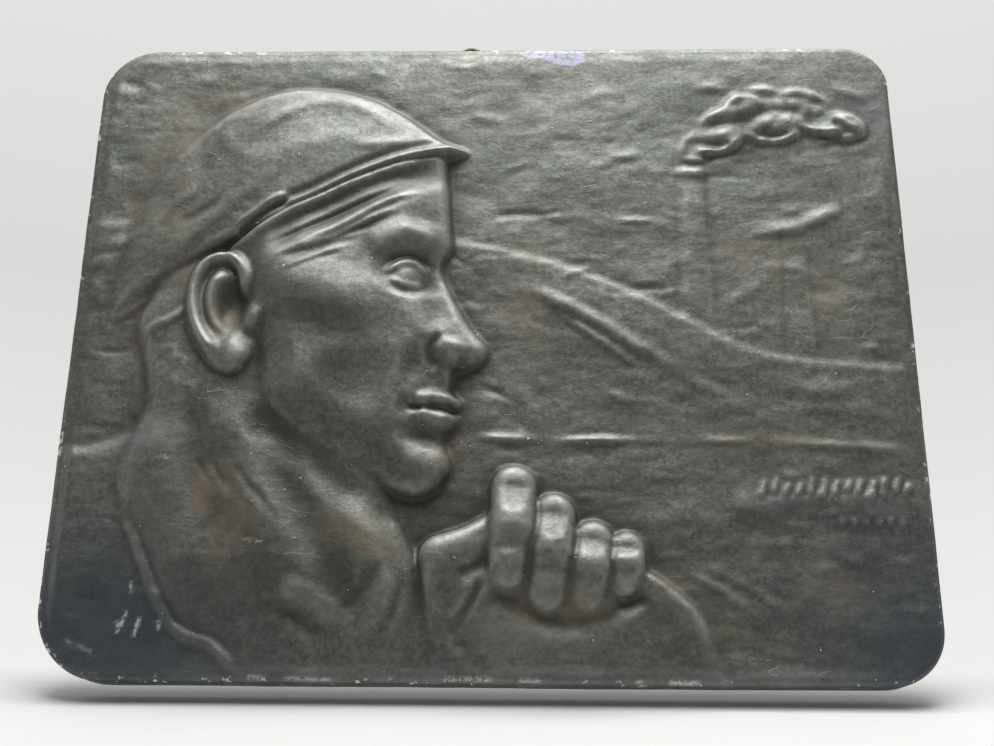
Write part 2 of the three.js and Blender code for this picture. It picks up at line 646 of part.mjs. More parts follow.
/** The plate's outline, moved inwards by inset, as points anticlockwise seen from the front. */
function outline(inset, wave = EDGE_WAVE) {
  const corners = [
    [1, 1, CORNER.topRight],
    [-1, 1, CORNER.topLeft],
    [-1, -1, CORNER.bottomLeft],
    [1, -1, CORNER.bottomRight],
  ];
  const points = [];
  corners.forEach(([sx, sz, radius], k) => {
    const centre = new THREE.Vector2(sx * (WIDTH / 2 - radius), sz * (HEIGHT / 2 - radius));
    const round = Math.max(radius - inset, 1);
    const shift = radius - inset - round;
    for (let step = 0; step <= CORNER_STEPS; step++) {
      const angle = (k + step / CORNER_STEPS) * Math.PI / 2;
      points.push(new THREE.Vector2(Math.cos(angle), Math.sin(angle)).multiplyScalar(round)
        .add(centre).add(new THREE.Vector2(sx * shift, sz * shift)));
    }
    const [nx, nz, nextRadius] = corners[(k + 1) % 4];
    const vertical = sx === nx;
    const next = new THREE.Vector2(nx * (WIDTH / 2 - nextRadius), nz * (HEIGHT / 2 - nextRadius));
    const start = points[points.length - 1].clone();
    const end = vertical ? new THREE.Vector2(start.x, next.y) : new THREE.Vector2(next.x, start.y);
    for (let step = 1; step < SIDE_STEPS; step++) {
      const place = start.clone().lerp(end, step / SIDE_STEPS);
      const inwards = wave * (1 - Math.cos(2.4 * step + 1.7 * k)) / 2;
      if (vertical) place.x -= sx * inwards;
      else place.y -= sz * inwards;
      points.push(place);
    }
  });
  return points;
}

/** A closed skin over a stack of outlines with equal point counts, as [outline, y] from back to front. */
function stackOutlines(levels) {
  const triangles = [];
  const at = ([points, y], k) => {
    const point = points[k % points.length];
    return [point.x, y, point.y];
  };
  const count = levels[0][0].length;
  for (let k = 0; k < count; k++) {
    for (let i = 0; i + 1 < levels.length; i++) {
      const [a, b, c, d] = [levels[i], levels[i + 1]].flatMap((level) => [at(level, k), at(level, k + 1)]);
      triangles.push(...a, ...b, ...c, ...b, ...d, ...c);
    }
  }
  const [back, front] = [levels[0], levels[levels.length - 1]];
  for (const [level, turned] of [[back, false], [front, true]]) {
    for (const face of THREE.ShapeUtils.triangulateShape(level[0], [])) {
      const [a, b, c] = turned ? face : [face[0], face[2], face[1]];
      triangles.push(...at(level, a), ...at(level, b), ...at(level, c));
    }
  }
  return solidOf(triangles);
}

// ---------- pieces ----------

// How far in from the rolled edge the envelope leaves room for relief of a height above the field.
const ROOM = [[3, 6], [12, 45]];

/** The envelope of the plate: straight sides, a rounded front edge, and room for the relief above it. */
function plateEnvelope() {
  const roll = [0, 30, 60, 90].map((degrees) => {
    const angle = THREE.MathUtils.degToRad(degrees);
    return [outline(EDGE_ROLL * (1 - Math.cos(angle))), -DEPTH + EDGE_ROLL * (1 - Math.sin(angle))];
  });
  return stackOutlines([
    [outline(0), 0],
    ...roll,
    ...ROOM.map(([inset, height]) => [outline(EDGE_ROLL + inset), -DEPTH - height]),
  ]);
}

/** An oval outline around the pocket's middle, moved inwards by inset. */
function pocketOutline(inset) {
  const middle = new THREE.Vector2(POCKET.x, POCKET.z);
  const turn = THREE.MathUtils.degToRad(POCKET.turn);
  const ellipse = new THREE.EllipseCurve(0, 0, POCKET.across - inset, POCKET.up - inset);
  return ellipse.getPoints(POCKET.sides).slice(0, -1)
    .map((point) => point.rotateAround(new THREE.Vector2(), turn).add(middle));
}

function plate() {
  const hollow = stackOutlines([
    [outline(RIM - DRAFT / 4, 0), OVERCUT],
    [outline(RIM, 0), 0],
    [outline(RIM + DRAFT, 0), WALL - DEPTH],
  ]);
  const pocket = stackOutlines(
    POCKET_LEVELS.map(([inset, deep]) => [pocketOutline(inset), WALL - DEPTH - deep]),
  );
  const body = reliefBlock().intersect(plateEnvelope()).subtract(hollow).subtract(pocket);
  const material = new THREE.MeshStandardMaterial({ color: 0x5c6059, roughness: 0.5, metalness: 0.6 });
  const mesh = new THREE.Mesh(geometryOf(body), material);
  mesh.name = 'relief_plate';
  mesh.position.z = PLATE_Z;
  return mesh;
}

const LOOP_DIP = Math.asin(LOOP_RISE / LOOP_RADIUS);

/** The middle line of a bent wire eye whose two feet stand on the top edge. */
class EyeCurve extends THREE.Curve {
  getPoint(t, target = new THREE.Vector3()) {
    const angle = mix(-LOOP_DIP, Math.PI + LOOP_DIP, t);
    return target.set(LOOP_RADIUS * Math.cos(angle), 0, LOOP_RADIUS * Math.sin(angle));
  }
}

function hangingLoop() {
  const section = new THREE.Shape().absarc(0, 0, LOOP_WIRE, 0, 2 * Math.PI);
  const extrudePath = new EyeCurve();
  const geometry = new THREE.ExtrudeGeometry(section, { steps: 16, curveSegments: 4, extrudePath });
  const material = new THREE.MeshStandardMaterial({ color: 0x2b2a29, roughness: 0.55, metalness: 0.8 });
  const mesh = new THREE.Mesh(geometry, material);
  mesh.name = 'hanging_loop';
  const footDrop = LOOP_RISE + LOOP_WIRE * Math.sin(LOOP_DIP);
  mesh.position.set(LOOP_X, -LOOP_BACK, RIM / 2 + FIT + footDrop);
  return mesh;
}

const group = new THREE.Group();
group.add(plate(), hangingLoop());

export default group;
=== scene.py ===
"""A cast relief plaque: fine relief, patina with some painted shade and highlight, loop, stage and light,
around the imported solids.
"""
import math

import bpy
import numpy as np
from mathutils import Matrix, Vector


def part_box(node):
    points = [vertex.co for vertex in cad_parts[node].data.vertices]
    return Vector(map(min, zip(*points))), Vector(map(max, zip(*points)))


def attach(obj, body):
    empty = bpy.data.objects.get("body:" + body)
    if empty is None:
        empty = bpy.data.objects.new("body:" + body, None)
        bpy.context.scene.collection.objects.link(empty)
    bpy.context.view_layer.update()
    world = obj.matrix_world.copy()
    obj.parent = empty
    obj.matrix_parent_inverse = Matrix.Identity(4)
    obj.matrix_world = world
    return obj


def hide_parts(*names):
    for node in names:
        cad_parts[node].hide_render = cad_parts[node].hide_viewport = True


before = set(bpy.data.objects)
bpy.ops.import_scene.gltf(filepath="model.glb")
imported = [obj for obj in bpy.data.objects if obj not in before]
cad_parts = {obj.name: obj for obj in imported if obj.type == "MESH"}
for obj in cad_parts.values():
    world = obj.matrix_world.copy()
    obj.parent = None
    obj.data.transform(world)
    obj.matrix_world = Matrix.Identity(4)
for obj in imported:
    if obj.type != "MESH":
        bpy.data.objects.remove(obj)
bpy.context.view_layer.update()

# ---------- sizes ----------
# In millimetres in plate coordinates: x to the right and z up from the plate's middle.

plate_low, plate_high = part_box("relief_plate")
loop_low, loop_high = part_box("hanging_loop")
MM = 0.001
WIDTH = round((plate_high[0] - plate_low[0]) / MM, 2)
HEIGHT = round((plate_high[2] - plate_low[2]) / MM, 2)
MIDDLE_Z = (plate_high[2] + plate_low[2]) / 2 / MM
TOP_OF_RELIEF = -plate_low[1] / MM
DEPTH = 16.0
EDGE_ROLL = 3.2
CORNERS = {(1, 1): 23.0, (-1, 1): 28.0, (-1, -1): 33.0, (1, -1): 26.0}
WALL = 5.0
POCKET_DEPTH = 6.0

# The face is laid out in equal thirds. Their size comes from the head's height below the brim and the ear's
# height, both read off the photograph.
THIRD, CHIN, FRONT = 60.0, -77.0, -22.0
NOSE, BROW, HAIRLINE = CHIN + THIRD, CHIN + 2 * THIRD, CHIN + 3 * THIRD
MOUTH, EYE = NOSE - THIRD / 3, CHIN + 1.75 * THIRD

# ---------- fields: numbers on a square grid over the plate ----------

STEP = 0.8
XS = np.arange(-WIDTH / 2, WIDTH / 2 + STEP, STEP)
ZS = np.arange(-HEIGHT / 2, HEIGHT / 2 + STEP, STEP)
X, Z = np.meshgrid(XS, ZS)
rng = np.random.default_rng(20)


def ease(start, end, t):
    u = np.clip((t - start) / (end - start), 0, 1)
    return u * u * (3 - 2 * u)


def soft_max(a, b, k):
    h = np.clip(0.5 + 0.5 * (a - b) / k, 0, 1)
    return b + (a - b) * h + k * h * (1 - h)


def blur(field, across, up=None):
    """A Gaussian blur with these spreads in millimetres, the borders mirrored."""
    up = across if up is None else up
    rows, columns = field.shape
    whole = np.block([[field, field[:, ::-1]], [field[::-1], field[::-1, ::-1]]])
    fx = np.fft.rfftfreq(2 * columns, STEP)
    fz = np.fft.fftfreq(2 * rows, STEP)
    keep = np.exp(-2 * math.pi**2 * ((fx[None] * across) ** 2 + (fz[:, None] * up) ** 2))
    return np.fft.irfft2(np.fft.rfft2(whole) * keep, s=whole.shape)[:rows, :columns]


def cloud(across, up=None):
    """Smooth noise with these feature sizes, with a mean of 0 and a spread of 1."""
    noise = blur(rng.standard_normal(X.shape), across, up)
    return (noise - noise.mean()) / noise.std()


def window(low, high):
    columns = slice(*np.searchsorted(XS, [low[0], high[0]]))
    rows = slice(*np.searchsorted(ZS, [low[1], high[1]]))
    return rows, columns


def curve(points, closed=False, steps=5):
    """A smooth line through a few points."""
    p = np.array(points, float)
    around = np.vstack([p[-1:], p, p[:2]]) if closed else np.vstack([p[:1], p, p[-1:]])
    t = np.linspace(0, 1, steps, endpoint=False)[:, None]
    parts = []
    for a, b, c, d in zip(around, around[1:], around[2:], around[3:]):
        parts.append(0.5 * (2 * b + (c - a) * t + (2 * a - 5 * b + 4 * c - d) * t**2
                            + (3 * b - a - 3 * c + d) * t**3))
    return np.vstack(parts + [p[:1] if closed else p[-1:]])


def nearest(x, z, line):
    """Distance to a line, and how far along it the nearest point is, 0 to 1."""
    best, place = np.full(x.shape, 1e9), np.zeros(x.shape)
    length = np.hypot(*np.diff(line, axis=0).T)
    run = np.concatenate([[0], np.cumsum(length)])
    for a, b, size, start in zip(line, line[1:], length, run):
        if size == 0:
            continue
        dx, dz = b - a
        t = np.clip(((x - a[0]) * dx + (z - a[1]) * dz) / size**2, 0, 1)
        away = np.hypot(x - a[0] - t * dx, z - a[1] - t * dz)
        closer = away < best
        best = np.where(closer, away, best)
        place = np.where(closer, (start + t * size) / run[-1], place)
    return best, place


def depth_in(points, steps=5, reach=6.0):
    """Distance inside a closed outline, negative outside and no less than -reach."""
    line = curve(points, True, steps)
    rows, columns = window(line.min(0) - reach, line.max(0) + reach)
    x, z = X[rows, columns], Z[rows, columns]
    away, _ = nearest(x, z, line)
    odd = np.zeros(x.shape, bool)
    for (ax, az), (bx, bz) in zip(line, line[1:]):
        if az != bz:
            odd ^= ((az > z) != (bz > z)) & (x < ax + (z - az) * (bx - ax) / (bz - az))
    depth = np.full(X.shape, -reach)
    depth[rows, columns] = np.where(odd, away, -np.minimum(away, reach))
    return depth


def shoulder(depth, width, height):
    return height * np.sqrt(1 - (1 - np.clip(depth / width, 0, 1)) ** 2)


def oval(cx, cz, a, b, turn=0.0):
    angle = math.radians(turn)
    u = ((X - cx) * math.cos(angle) + (Z - cz) * math.sin(angle)) / a
    v = ((Z - cz) * math.cos(angle) - (X - cx) * math.sin(angle)) / b
    return np.clip(1 - u * u - v * v, 0, 1)


def add_mounds(field, mounds):
    """Adds smooth swellings or hollows: height, middle, two radii and turn."""
    for height, cx, cz, a, b, turn in mounds:
        reach = max(a, b)
        rows, columns = window((cx - reach, cz - reach), (cx + reach, cz + reach))
        field[rows, columns] += height * oval(cx, cz, a, b, turn)[rows, columns] ** 2


def add_ridge(field, height, half, points, fade=0.2, steps=4):
    """Adds a smooth ridge or groove along a line, fading towards its ends."""
    line = curve(points, False, steps)
    rows, columns = window(line.min(0) - half, line.max(0) + half)
    away, along = nearest(X[rows, columns], Z[rows, columns], line)
    ends = ease(0, fade, along) * ease(0, fade, 1 - along) if fade else 1
    field[rows, columns] += height * (1 - np.clip(away / half, 0, 1) ** 2) ** 2 * ends


def add_ridges(field, ridges):
    for ridge in ridges:
        add_ridge(field, *ridge)


def shifted(points, dx, dz):
    return [(x + dx, z + dz) for x, z in points]


# ---------- background ----------

HILL = [(-60, 62), (0, 47), (34, 38), (72, 22), (104, 4), (140, -9), (205, -14)]
LAND = [  # height, half width, line, fade
    (1.3, 5, [(6, 30), (44, 12), (84, -14), (124, -40)], 0.25),
    (0.8, 3, [(30, 14), (58, -6), (80, -24)], 0.3),
    (1.7, 3.4, [(-10, -49), (40, -50.5), (100, -50), (150, -52), (192, -55)], 0.08),
    (-0.9, 6, [(-10, -55), (60, -56), (150, -58)], 0.2),
    (0.7, 5, [(62, -95), (110, -97.5), (150, -97), (196, -95)], 0.2),
    (-1.7, 5, [(66, -102), (120, -104), (194, -102)], 0.1),
    (2.0, 7, [(106, 42), (124, 55), (150, 58), (172, 70), (188, 76)], 0.3),
    (-1.4, 8, [(110, 30), (130, 43), (156, 47), (182, 60)], 0.3),
    (1.3, 6, [(108, 12), (120, 22), (134, 28)], 0.3),
    (1.2, 6, [(156, 10), (170, 18), (188, 20)], 0.3),
    (1.5, 15, [(92, -78), (130, -81), (196, -80)], 0.25),
    (0.8, 6, [(124, -20), (150, -27), (190, -24)], 0.4),
    (0.7, 6, [(132, -36), (156, -34), (188, -39)], 0.4),
    (2.2, 3.4, [(84, -109), (104, -119), (122, -134)], 0.3),
    (-1.6, 3.4, [(82, -113), (101, -124), (118, -140)], 0.3),
    (1.9, 3.2, [(92, -107), (114, -116), (130, -128)], 0.3),
    (-1.3, 3, [(146, -106), (147, -124), (146, -148)], 0.15),
    (-1.0, 4, [(172, -104), (173, -126), (171, -150)], 0.2),
    (0.7, 5, [(-196, 38), (-188, 22), (-178, -8)], 0.3),
]
STACKS = [(98, 10, 90, 7.5, 5.2), (146, -8, 48, 6, 4.4)]
SMOKE = [  # middle, two radii, turn: the plume from the taller stack, drifting right
    (104, 103, 14, 9, 35), (122, 112, 24, 14, 20), (148, 119, 25, 15, 4), (170, 114, 17, 9, -14),
    (132, 126, 18, 9, 8),
]
LIPS = [  # height, middle, two radii, turn, start and end angle: curled edges of smoke
    (2.0, 112, 108, 13, 9, 20, 190, 330), (2.2, 140, 113, 15, 9, 5, 200, 340),
    (1.8, 164, 117, 12, 8, -10, 205, 345),
    (1.5, 126, 122, 11, 7, 15, 20, 160), (1.6, 152, 127, 12, 6, 0, 10, 150),
    (1.3, 181, 117, 9, 6, -20, 190, 300),
]
WISPS = [(1.1, 3, [(166, 136), (176, 134), (190, 127)], 0.3),
         (1.2, 2.6, [(150, 97), (164, 97), (178, 103)], 0.3),
         (1.3, 2.6, [(100, 92), (112, 94), (126, 97)], 0.3)]


def arc(cx, cz, a, b, turn, start, end):
    """Points along part of an oval, the angles in degrees."""
    slant, angles = math.radians(turn), np.radians(np.linspace(start, end, 6))
    u, v = a * np.cos(angles), b * np.sin(angles)
    return list(zip(cx + u * math.cos(slant) - v * math.sin(slant),
                    cz + u * math.sin(slant) + v * math.cos(slant)))


def plume(field):
    """Adds smoke: irregular puffs with creases between them, and curled lips."""
    cover = np.max([np.sqrt(oval(*one)) for one in SMOKE], axis=0)
    puffs = np.minimum(np.abs(cloud(7.5, 5)), 1.3) + 0.3 * np.minimum(np.abs(cloud(3, 2.4)), 1.3)
    field += ease(0, 0.55, cover) * (0.5 + 2.1 * puffs)
    for height, cx, cz, a, b, turn, start, end in LIPS:
        add_ridge(field, height, 2.5, arc(cx, cz, a, b, turn, start, end), 0.3)
        add_ridge(field, -0.9 * height, 3, arc(cx + 0.5, cz - 0.8, a + 3, b + 3, turn, start, end), 0.3)
    add_ridges(field, WISPS)


def add_strokes(field, count, step, first, middle, tall, rise):
    """Adds a row of short strokes that all lean one way and never meet, each with a groove beside it."""
    for k in range(count):
        x, z = first + step * k, middle + 0.25 * tall * math.sin(1.9 * k)
        lean, reach = 0.3 * tall, tall * (0.95 + 0.25 * math.cos(1.3 * k))
        line = [(x - lean, z - reach), (x + 0.4 * math.sin(3 * k), z), (x + lean, z + reach)]
        add_ridge(field, rise, 1.5, line, 0.2)
        add_ridge(field, -0.6 * rise, 1.6, shifted(line, 2.4, -0.7), 0.2)


def background():
    field = 0.5 * np.sin(X / 31 + Z / 47) * np.sin(Z / 23 + 1.3)
    hill = curve(HILL)
    above = Z - np.interp(X, hill[:, 0], hill[:, 1])
    field += 2 * ease(3, -3, above) - 2 * ease(1, -50, above)
    land = np.zeros(X.shape)
    add_ridges(land, LAND)
    field += land * (1 + 0.35 * cloud(7, 4))
    for cx, foot, top, foot_half, top_half in STACKS:
        half = foot_half + (top_half - foot_half) * (Z - foot) / (top - foot)
        away = np.abs(X - cx)
        body = 1.5 * ease(1.2, -0.8, away - half) * ease(-8, 8, Z - foot) * ease(1, -1, Z - top)
        collar = ease(1.5, -0.5, away - half - 1) * ease(3, 1, np.abs(Z - top + 3))
        field += body * (1 - 0.4 * np.minimum(away / half, 1) ** 2) + collar
        add_ridge(field, -1.1, 2.2, [(cx - foot_half - 1.6, foot + 4), (cx - top_half - 1.6, top - 2)], 0.1)
        add_ridge(field, -1.3, 2.4, [(cx + foot_half + 1.6, foot + 4), (cx + top_half + 1.6, top - 2)], 0.1)
    plume(field)
    add_strokes(field, 13, 5.4, 124, -72, 4.6, 1.9)
    add_strokes(field, 6, 5.4, 158, -88, 1.8, 1.4)
    return field


# ---------- shirt, neck and nape ----------

SHIRT = [(-146, -20), (-158, -34), (-163, -43), (-175, -50), (-187, -54), (-208, -59), (-208, -170),
         (-30, -170),
         (-50, -100)]
NECK = [(-150, 40), (-165, 16), (-167, 4), (-164, -6), (-160, -20), (-159, -32), (-165, -48), (-171, -66),
        (-168, -82), (-158, -98), (-151, -112), (-145, -125), (-138, -135.5), (-130, -141), (-121, -143.5),
        (-115, -148.5), (-109, -154), (-96, -160), (-60, -166), (-24, -170), (-26, -120), (-36, -95),
        (-44, -72),
        (-60, -10), (-110, 45)]
NECKLINE = [(-168, -79), (-158, -97), (-151, -112), (-145, -125), (-138, -135.5), (-130, -140.5),
            (-121, -143),
            (-115, -148.5), (-109, -154), (-100, -156)]
NECK_FORMS = [
    (2.2, 15, [(-122, -24), (-112, -62), (-92, -104), (-68, -142)]),
    (-1.6, 11, [(-104, -40), (-90, -72), (-70, -106), (-56, -136)]),
    (1.6, 12, [(-62, -74), (-52, -104), (-46, -140)]),
    (1.4, 12, [(-150, -36), (-146, -78), (-130, -118)], 0.25),
    (-1.3, 9, [(-135, -24), (-133, -62), (-118, -104)], 0.25),
    (-2.3, 12, [(-112, -36), (-84, -58), (-56, -80), (-34, -90)], 0.15),
    (1.8, 3, [(-165, 2), (-158, 4), (-149, 8), (-142, 15)], 0.25),
    (1.1, 3, [(-165, -4), (-160.5, -19), (-160, -33), (-166, -45)], 0.2),
    (2.3, 7, [(-94, -118), (-80, -122), (-66, -131), (-56, -142)]),
    (-1.8, 6, [(-94, -129), (-80, -133), (-68, -143)], 0.3),
    (2.1, 7, [(-60, -146), (-48, -129), (-39, -108)], 0.3),
    (-1.5, 5, [(-68, -134), (-56, -122), (-48, -106)], 0.3),
    (1.3, 4, [(-100, -128), (-86, -136), (-70, -148)], 0.3),
    (1.2, 4, [(-46, -146), (-38, -131), (-35, -116)], 0.3),
    (-1.0, 3, [(-52, -146), (-43, -131), (-39, -118)], 0.3),
    (0.9, 5, [(-124, -132), (-106, -140), (-84, -150)], 0.3),
]
CURL = [(-3.2, -1.2), (-1.6, 2.0), (1.6, 1.8), (2.8, -0.6), (0.8, -2.4), (-0.8, -0.8)]


def neck():
    depth = depth_in(NECK)
    swell = np.clip(1 - ((X + 100) / 110) ** 2 - ((Z + 75) / 130) ** 2, 0, 1)
    field = shoulder(depth, 9, 5.5) + 4.5 * swell * ease(0, 16, depth)
    add_ridges(field, NECK_FORMS)
    for k in range(7):
        x, z = -134 + 5 * k, -58 - 2.2 * k + 3 * math.sin(2 * k)
        add_ridge(field, -0.6, 1.8, [(x, z), (x + 6 + k % 3, z - 10), (x + 13, z - 19 - 2 * (k % 2))], 0.35)
    for cx, cz, size in ((-151, -10, 1.3), (-145, -15, 1.1), (-153, -18, 1.0), (-139, -28, 0.8),
                         (-147, -25, 0.8)):
        add_ridge(field, 0.45, 2.0, [(cx + size * x, cz + size * z) for x, z in CURL], 0.3)
    return field


# ---------- head ----------

HEAD = [
    (FRONT - 3, HAIRLINE), (FRONT + 1, BROW + 39), (FRONT + 3, BROW + 15), (FRONT + 4, BROW + 2),
    (FRONT - 1, BROW - 9),
    (FRONT + 5, BROW - 24), (FRONT + 14, BROW - 40), (FRONT + 21, NOSE + 11), (FRONT + 19, NOSE + 4),
    (FRONT + 11, NOSE),
    (FRONT + 5.5, NOSE - 2), (FRONT + 5, NOSE - 11), (FRONT + 9.5, MOUTH + 4.5), (FRONT + 8, MOUTH + 1),
    (FRONT + 4, MOUTH),
    (FRONT + 8, MOUTH - 3.5), (FRONT + 6, MOUTH - 9), (FRONT + 1.5, MOUTH - 14), (FRONT + 5, MOUTH - 24),
    (FRONT + 4, CHIN + 9), (FRONT - 3, CHIN + 1.5), (FRONT - 14, CHIN - 1), (FRONT - 32, CHIN + 6),
    (FRONT - 53, CHIN + 17),
    (FRONT - 72, CHIN + 30), (FRONT - 84, CHIN + 42), (FRONT - 90, NOSE), (FRONT - 98, 5), (FRONT - 104, 30),
    (FRONT - 112, 70), (FRONT - 100, 110), (FRONT - 70, 122), (FRONT - 30, 118),
]
UPPER_LID = [(FRONT - 7.5, EYE - 1), (FRONT - 10, EYE + 4), (FRONT - 15, EYE + 6.3), (FRONT - 21, EYE + 4.5),
             (FRONT - 28, EYE - 1.5)]
LOWER_LID = [(FRONT - 9, EYE - 4), (FRONT - 14, EYE - 6.2), (FRONT - 20, EYE - 5.6),
             (FRONT - 26.5, EYE - 2.2)]
FACE_RIDGES = [
    (2.4, 10, [(FRONT + 1, BROW + 1), (FRONT - 12, BROW + 5), (FRONT - 27, BROW + 3),
               (FRONT - 38, BROW - 5)], 0.25),
    (1.9, 2.6, UPPER_LID),
    (-1.3, 2.4, shifted(UPPER_LID, 0, 4.2)),
    (1.1, 2.2, LOWER_LID),
    (-0.8, 2.8, shifted(LOWER_LID, 0, -4), 0.25),
    (-2.0, 9, [(FRONT - 6, EYE + 2), (FRONT - 2, BROW - 34), (FRONT + 1, NOSE + 16)], 0.3),
    (-1.6, 3.2, [(FRONT + 1, NOSE + 15.5), (FRONT - 5, NOSE + 10), (FRONT - 5.5, NOSE + 3),
                 (FRONT - 1, NOSE - 1.5)]),
    (2.5, 5.5, [(FRONT + 8, MOUTH + 4), (FRONT - 1, MOUTH + 4.6), (FRONT - 12, MOUTH + 1.6)]),
    (2.7, 5.5, [(FRONT + 7, MOUTH - 4.4), (FRONT - 2, MOUTH - 5), (FRONT - 11, MOUTH - 2)]),
    (-2.8, 2.2, [(FRONT + 8, MOUTH), (FRONT, MOUTH + 0.8), (FRONT - 7, MOUTH), (FRONT - 15.5, MOUTH - 0.6)],
     0.1),
    (3.4, 19, [(FRONT - 18, EYE - 19), (FRONT - 40, EYE - 15), (FRONT - 66, EYE - 8), (FRONT - 88, EYE - 4)],
     0.4),
    (1.4, 11, [(FRONT - 22, CHIN + 7), (FRONT - 45, CHIN + 16), (FRONT - 70, CHIN + 32)], 0.3),
    (-0.9, 6, [(FRONT - 8, NOSE + 7), (FRONT - 16, NOSE - 6), (FRONT - 20, MOUTH - 2)], 0.35),
]
FACE_MOUNDS = [
    (-4.6, FRONT - 16, EYE + 1, 21, 15, -6), (4.6, FRONT - 16.5, EYE, 11, 10, 0),
    (3.0, FRONT + 4.5, NOSE + 7, 10, 8.5, -12), (-3.0, FRONT + 10, NOSE + 2.5, 5, 2.8, 14),
    (-0.9, FRONT + 0.5, NOSE - 9, 4, 9, 12), (-1.2, FRONT - 16.5, MOUTH - 1, 5, 6, 0),
    (-2.0, FRONT - 5, MOUTH - 15, 14, 6.5, -8), (2.6, FRONT - 7, CHIN + 13, 18, 14, -10),
    (-2.4, FRONT - 44, MOUTH + 9, 30, 20, 32), (-1.6, FRONT - 48, BROW + 10, 24, 22, 0),
    (2.2, FRONT - 72, MOUTH + 4, 26, 34, 20),
]
LOCKS = [  # height, half width, line: strands combed back under the cap
    (1.5, 3.4, [(-38, 80), (-62, 69), (-88, 55), (-112, 42)]),
    (1.3, 3.0, [(-33, 74), (-54, 63), (-76, 50), (-92, 43)]),
    (1.5, 3.6, [(-40, 64), (-62, 54), (-84, 43), (-104, 36)]),
    (1.0, 2.6, [(-58, 50), (-74, 44), (-96, 33)]),
    (0.8, 2.6, [(-66, 42), (-82, 36), (-100, 27)]),
]


def head():
    depth = depth_in(HEAD)
    broad = np.clip(1 - ((X - FRONT + 68) / 118) ** 2 - ((Z - 20) / 140) ** 2, 0, 1)
    base = shoulder(depth, 6, 7) + 11 * broad * ease(-2, 26, depth)
    forms = np.zeros(X.shape)
    add_ridges(forms, FACE_RIDGES)
    add_mounds(forms, FACE_MOUNDS)
    field = base + forms * ease(-1, 5, depth)
    for height, half, line in LOCKS:
        add_ridge(field, height, half, line, 0.3)
        add_ridge(field, -0.8 * height, half * 0.7, shifted(line, 0.5, -1.15 * half), 0.3)
        add_ridge(field, -0.35, 1.0, shifted(line, 0, 0.3 * half), 0.3)
    return np.where(depth > -3, field, -9)


# ---------- ear ----------

EAR = [(-115, 24), (-119, 37), (-129, 41), (-139, 36), (-143.5, 22), (-142, 5), (-135, -9), (-126, -19),
       (-115, -19),
       (-108, -9), (-106, 6), (-110, 15)]
EAR_RIDGES = [
    (3.4, 4.6, [(-116, 15), (-116, 28), (-121, 36), (-129, 38), (-137, 32), (-140, 20), (-138, 6),
                (-132, -6), (-125, -13)], 0.08),
    (-1.8, 2.6, [(-119, 22), (-122, 30), (-129, 32.5), (-134, 27), (-136, 17), (-134, 6), (-129, -3)], 0.15),
    (2.4, 4.4, [(-122, 27), (-129, 25), (-131, 15), (-128, 4), (-121, -2)]),
]
EAR_MOUNDS = [(-5.5, -122, 11, 12, 20, -12), (2.6, -111, 6, 7, 10, -10), (2.0, -117.5, -11, 10, 10, -10)]


def ear():
    field = shoulder(depth_in(EAR), 3.5, 4.2) * ease(-106, -126, X + (Z - 15) * 0.22)
    add_ridges(field, EAR_RIDGES)
    add_mounds(field, EAR_MOUNDS)
    return field


# ---------- cap ----------

BRIM = [(-14, 95), (-30, 91.5), (-47, 85.5), (-68, 75.5), (-83, 67.5), (-97, 60.5), (-111, 51.5),
        (-126, 42.5),
        (-143, 30.5), (-161, 18.5), (-182, 5)]
CROWN = [(-12, 99), (-26, 105.5), (-42, 118), (-60, 128), (-80, 133.5), (-99, 134.5), (-118, 130),
         (-138, 120.5),
         (-155, 107), (-168, 90), (-177, 66), (-182, 40), (-185, 14)]
CAP = [*CROWN, *BRIM[::-1]]
CAP_FORMS = [
    (2.0, 4.0, shifted(BRIM[:8], 0, 2.2), 0.06),
    (1.0, 3.0, shifted(BRIM[7:], 0, 1.8), 0.15),
    (-1.5, 3.6, shifted(BRIM[:7], -1, 7.4), 0.2),
    (0.8, 6, [(-120, 100), (-106, 114), (-88, 123), (-68, 122), (-50, 110), (-40, 106)]),
    (-0.8, 11, [(-116, 94), (-100, 105), (-80, 111), (-60, 108)]),
    (-2.6, 2.6, [(-97, 66), (-105, 62.5), (-116, 54.5), (-122, 50)], 0.15),
    (1.6, 2.6, [(-95, 69.5), (-104, 67), (-115, 59), (-124, 52.5)], 0.2),
    (0.7, 6, [(-166, 32), (-146, 50), (-124, 68), (-104, 84)], 0.3),
    (-0.6, 6, [(-160, 28), (-142, 42), (-122, 58)], 0.3),
    (0.6, 5, [(-172, 48), (-156, 66), (-140, 78)], 0.3),
    (-0.5, 7, [(-150, 108), (-142, 92), (-148, 74)], 0.3),
    (0.5, 6, [(-136, 112), (-128, 98), (-112, 86)], 0.3),
    (-0.8, 4, [(-154, 56), (-140, 62), (-130, 70)], 0.3),
    (0.8, 4, [(-70, 96), (-56, 98), (-38, 101)], 0.3),
]


def cap():
    depth = depth_in(CAP)
    back = ease(-96, -172, X)
    from_crown, _ = nearest(X, Z, curve(CROWN))
    swell = np.sqrt(1 - (1 - np.clip(from_crown / 44, 0, 1)) ** 2)
    edge = shoulder(depth, 3 + 15 * back, 3 - 0.8 * back)
    field = edge + (10.5 - 6 * back) * swell * ease(0, 4 + 8 * back, depth)
    add_ridges(field, CAP_FORMS)
    return np.where(depth > -3, field, -9), depth


# ---------- hand ----------

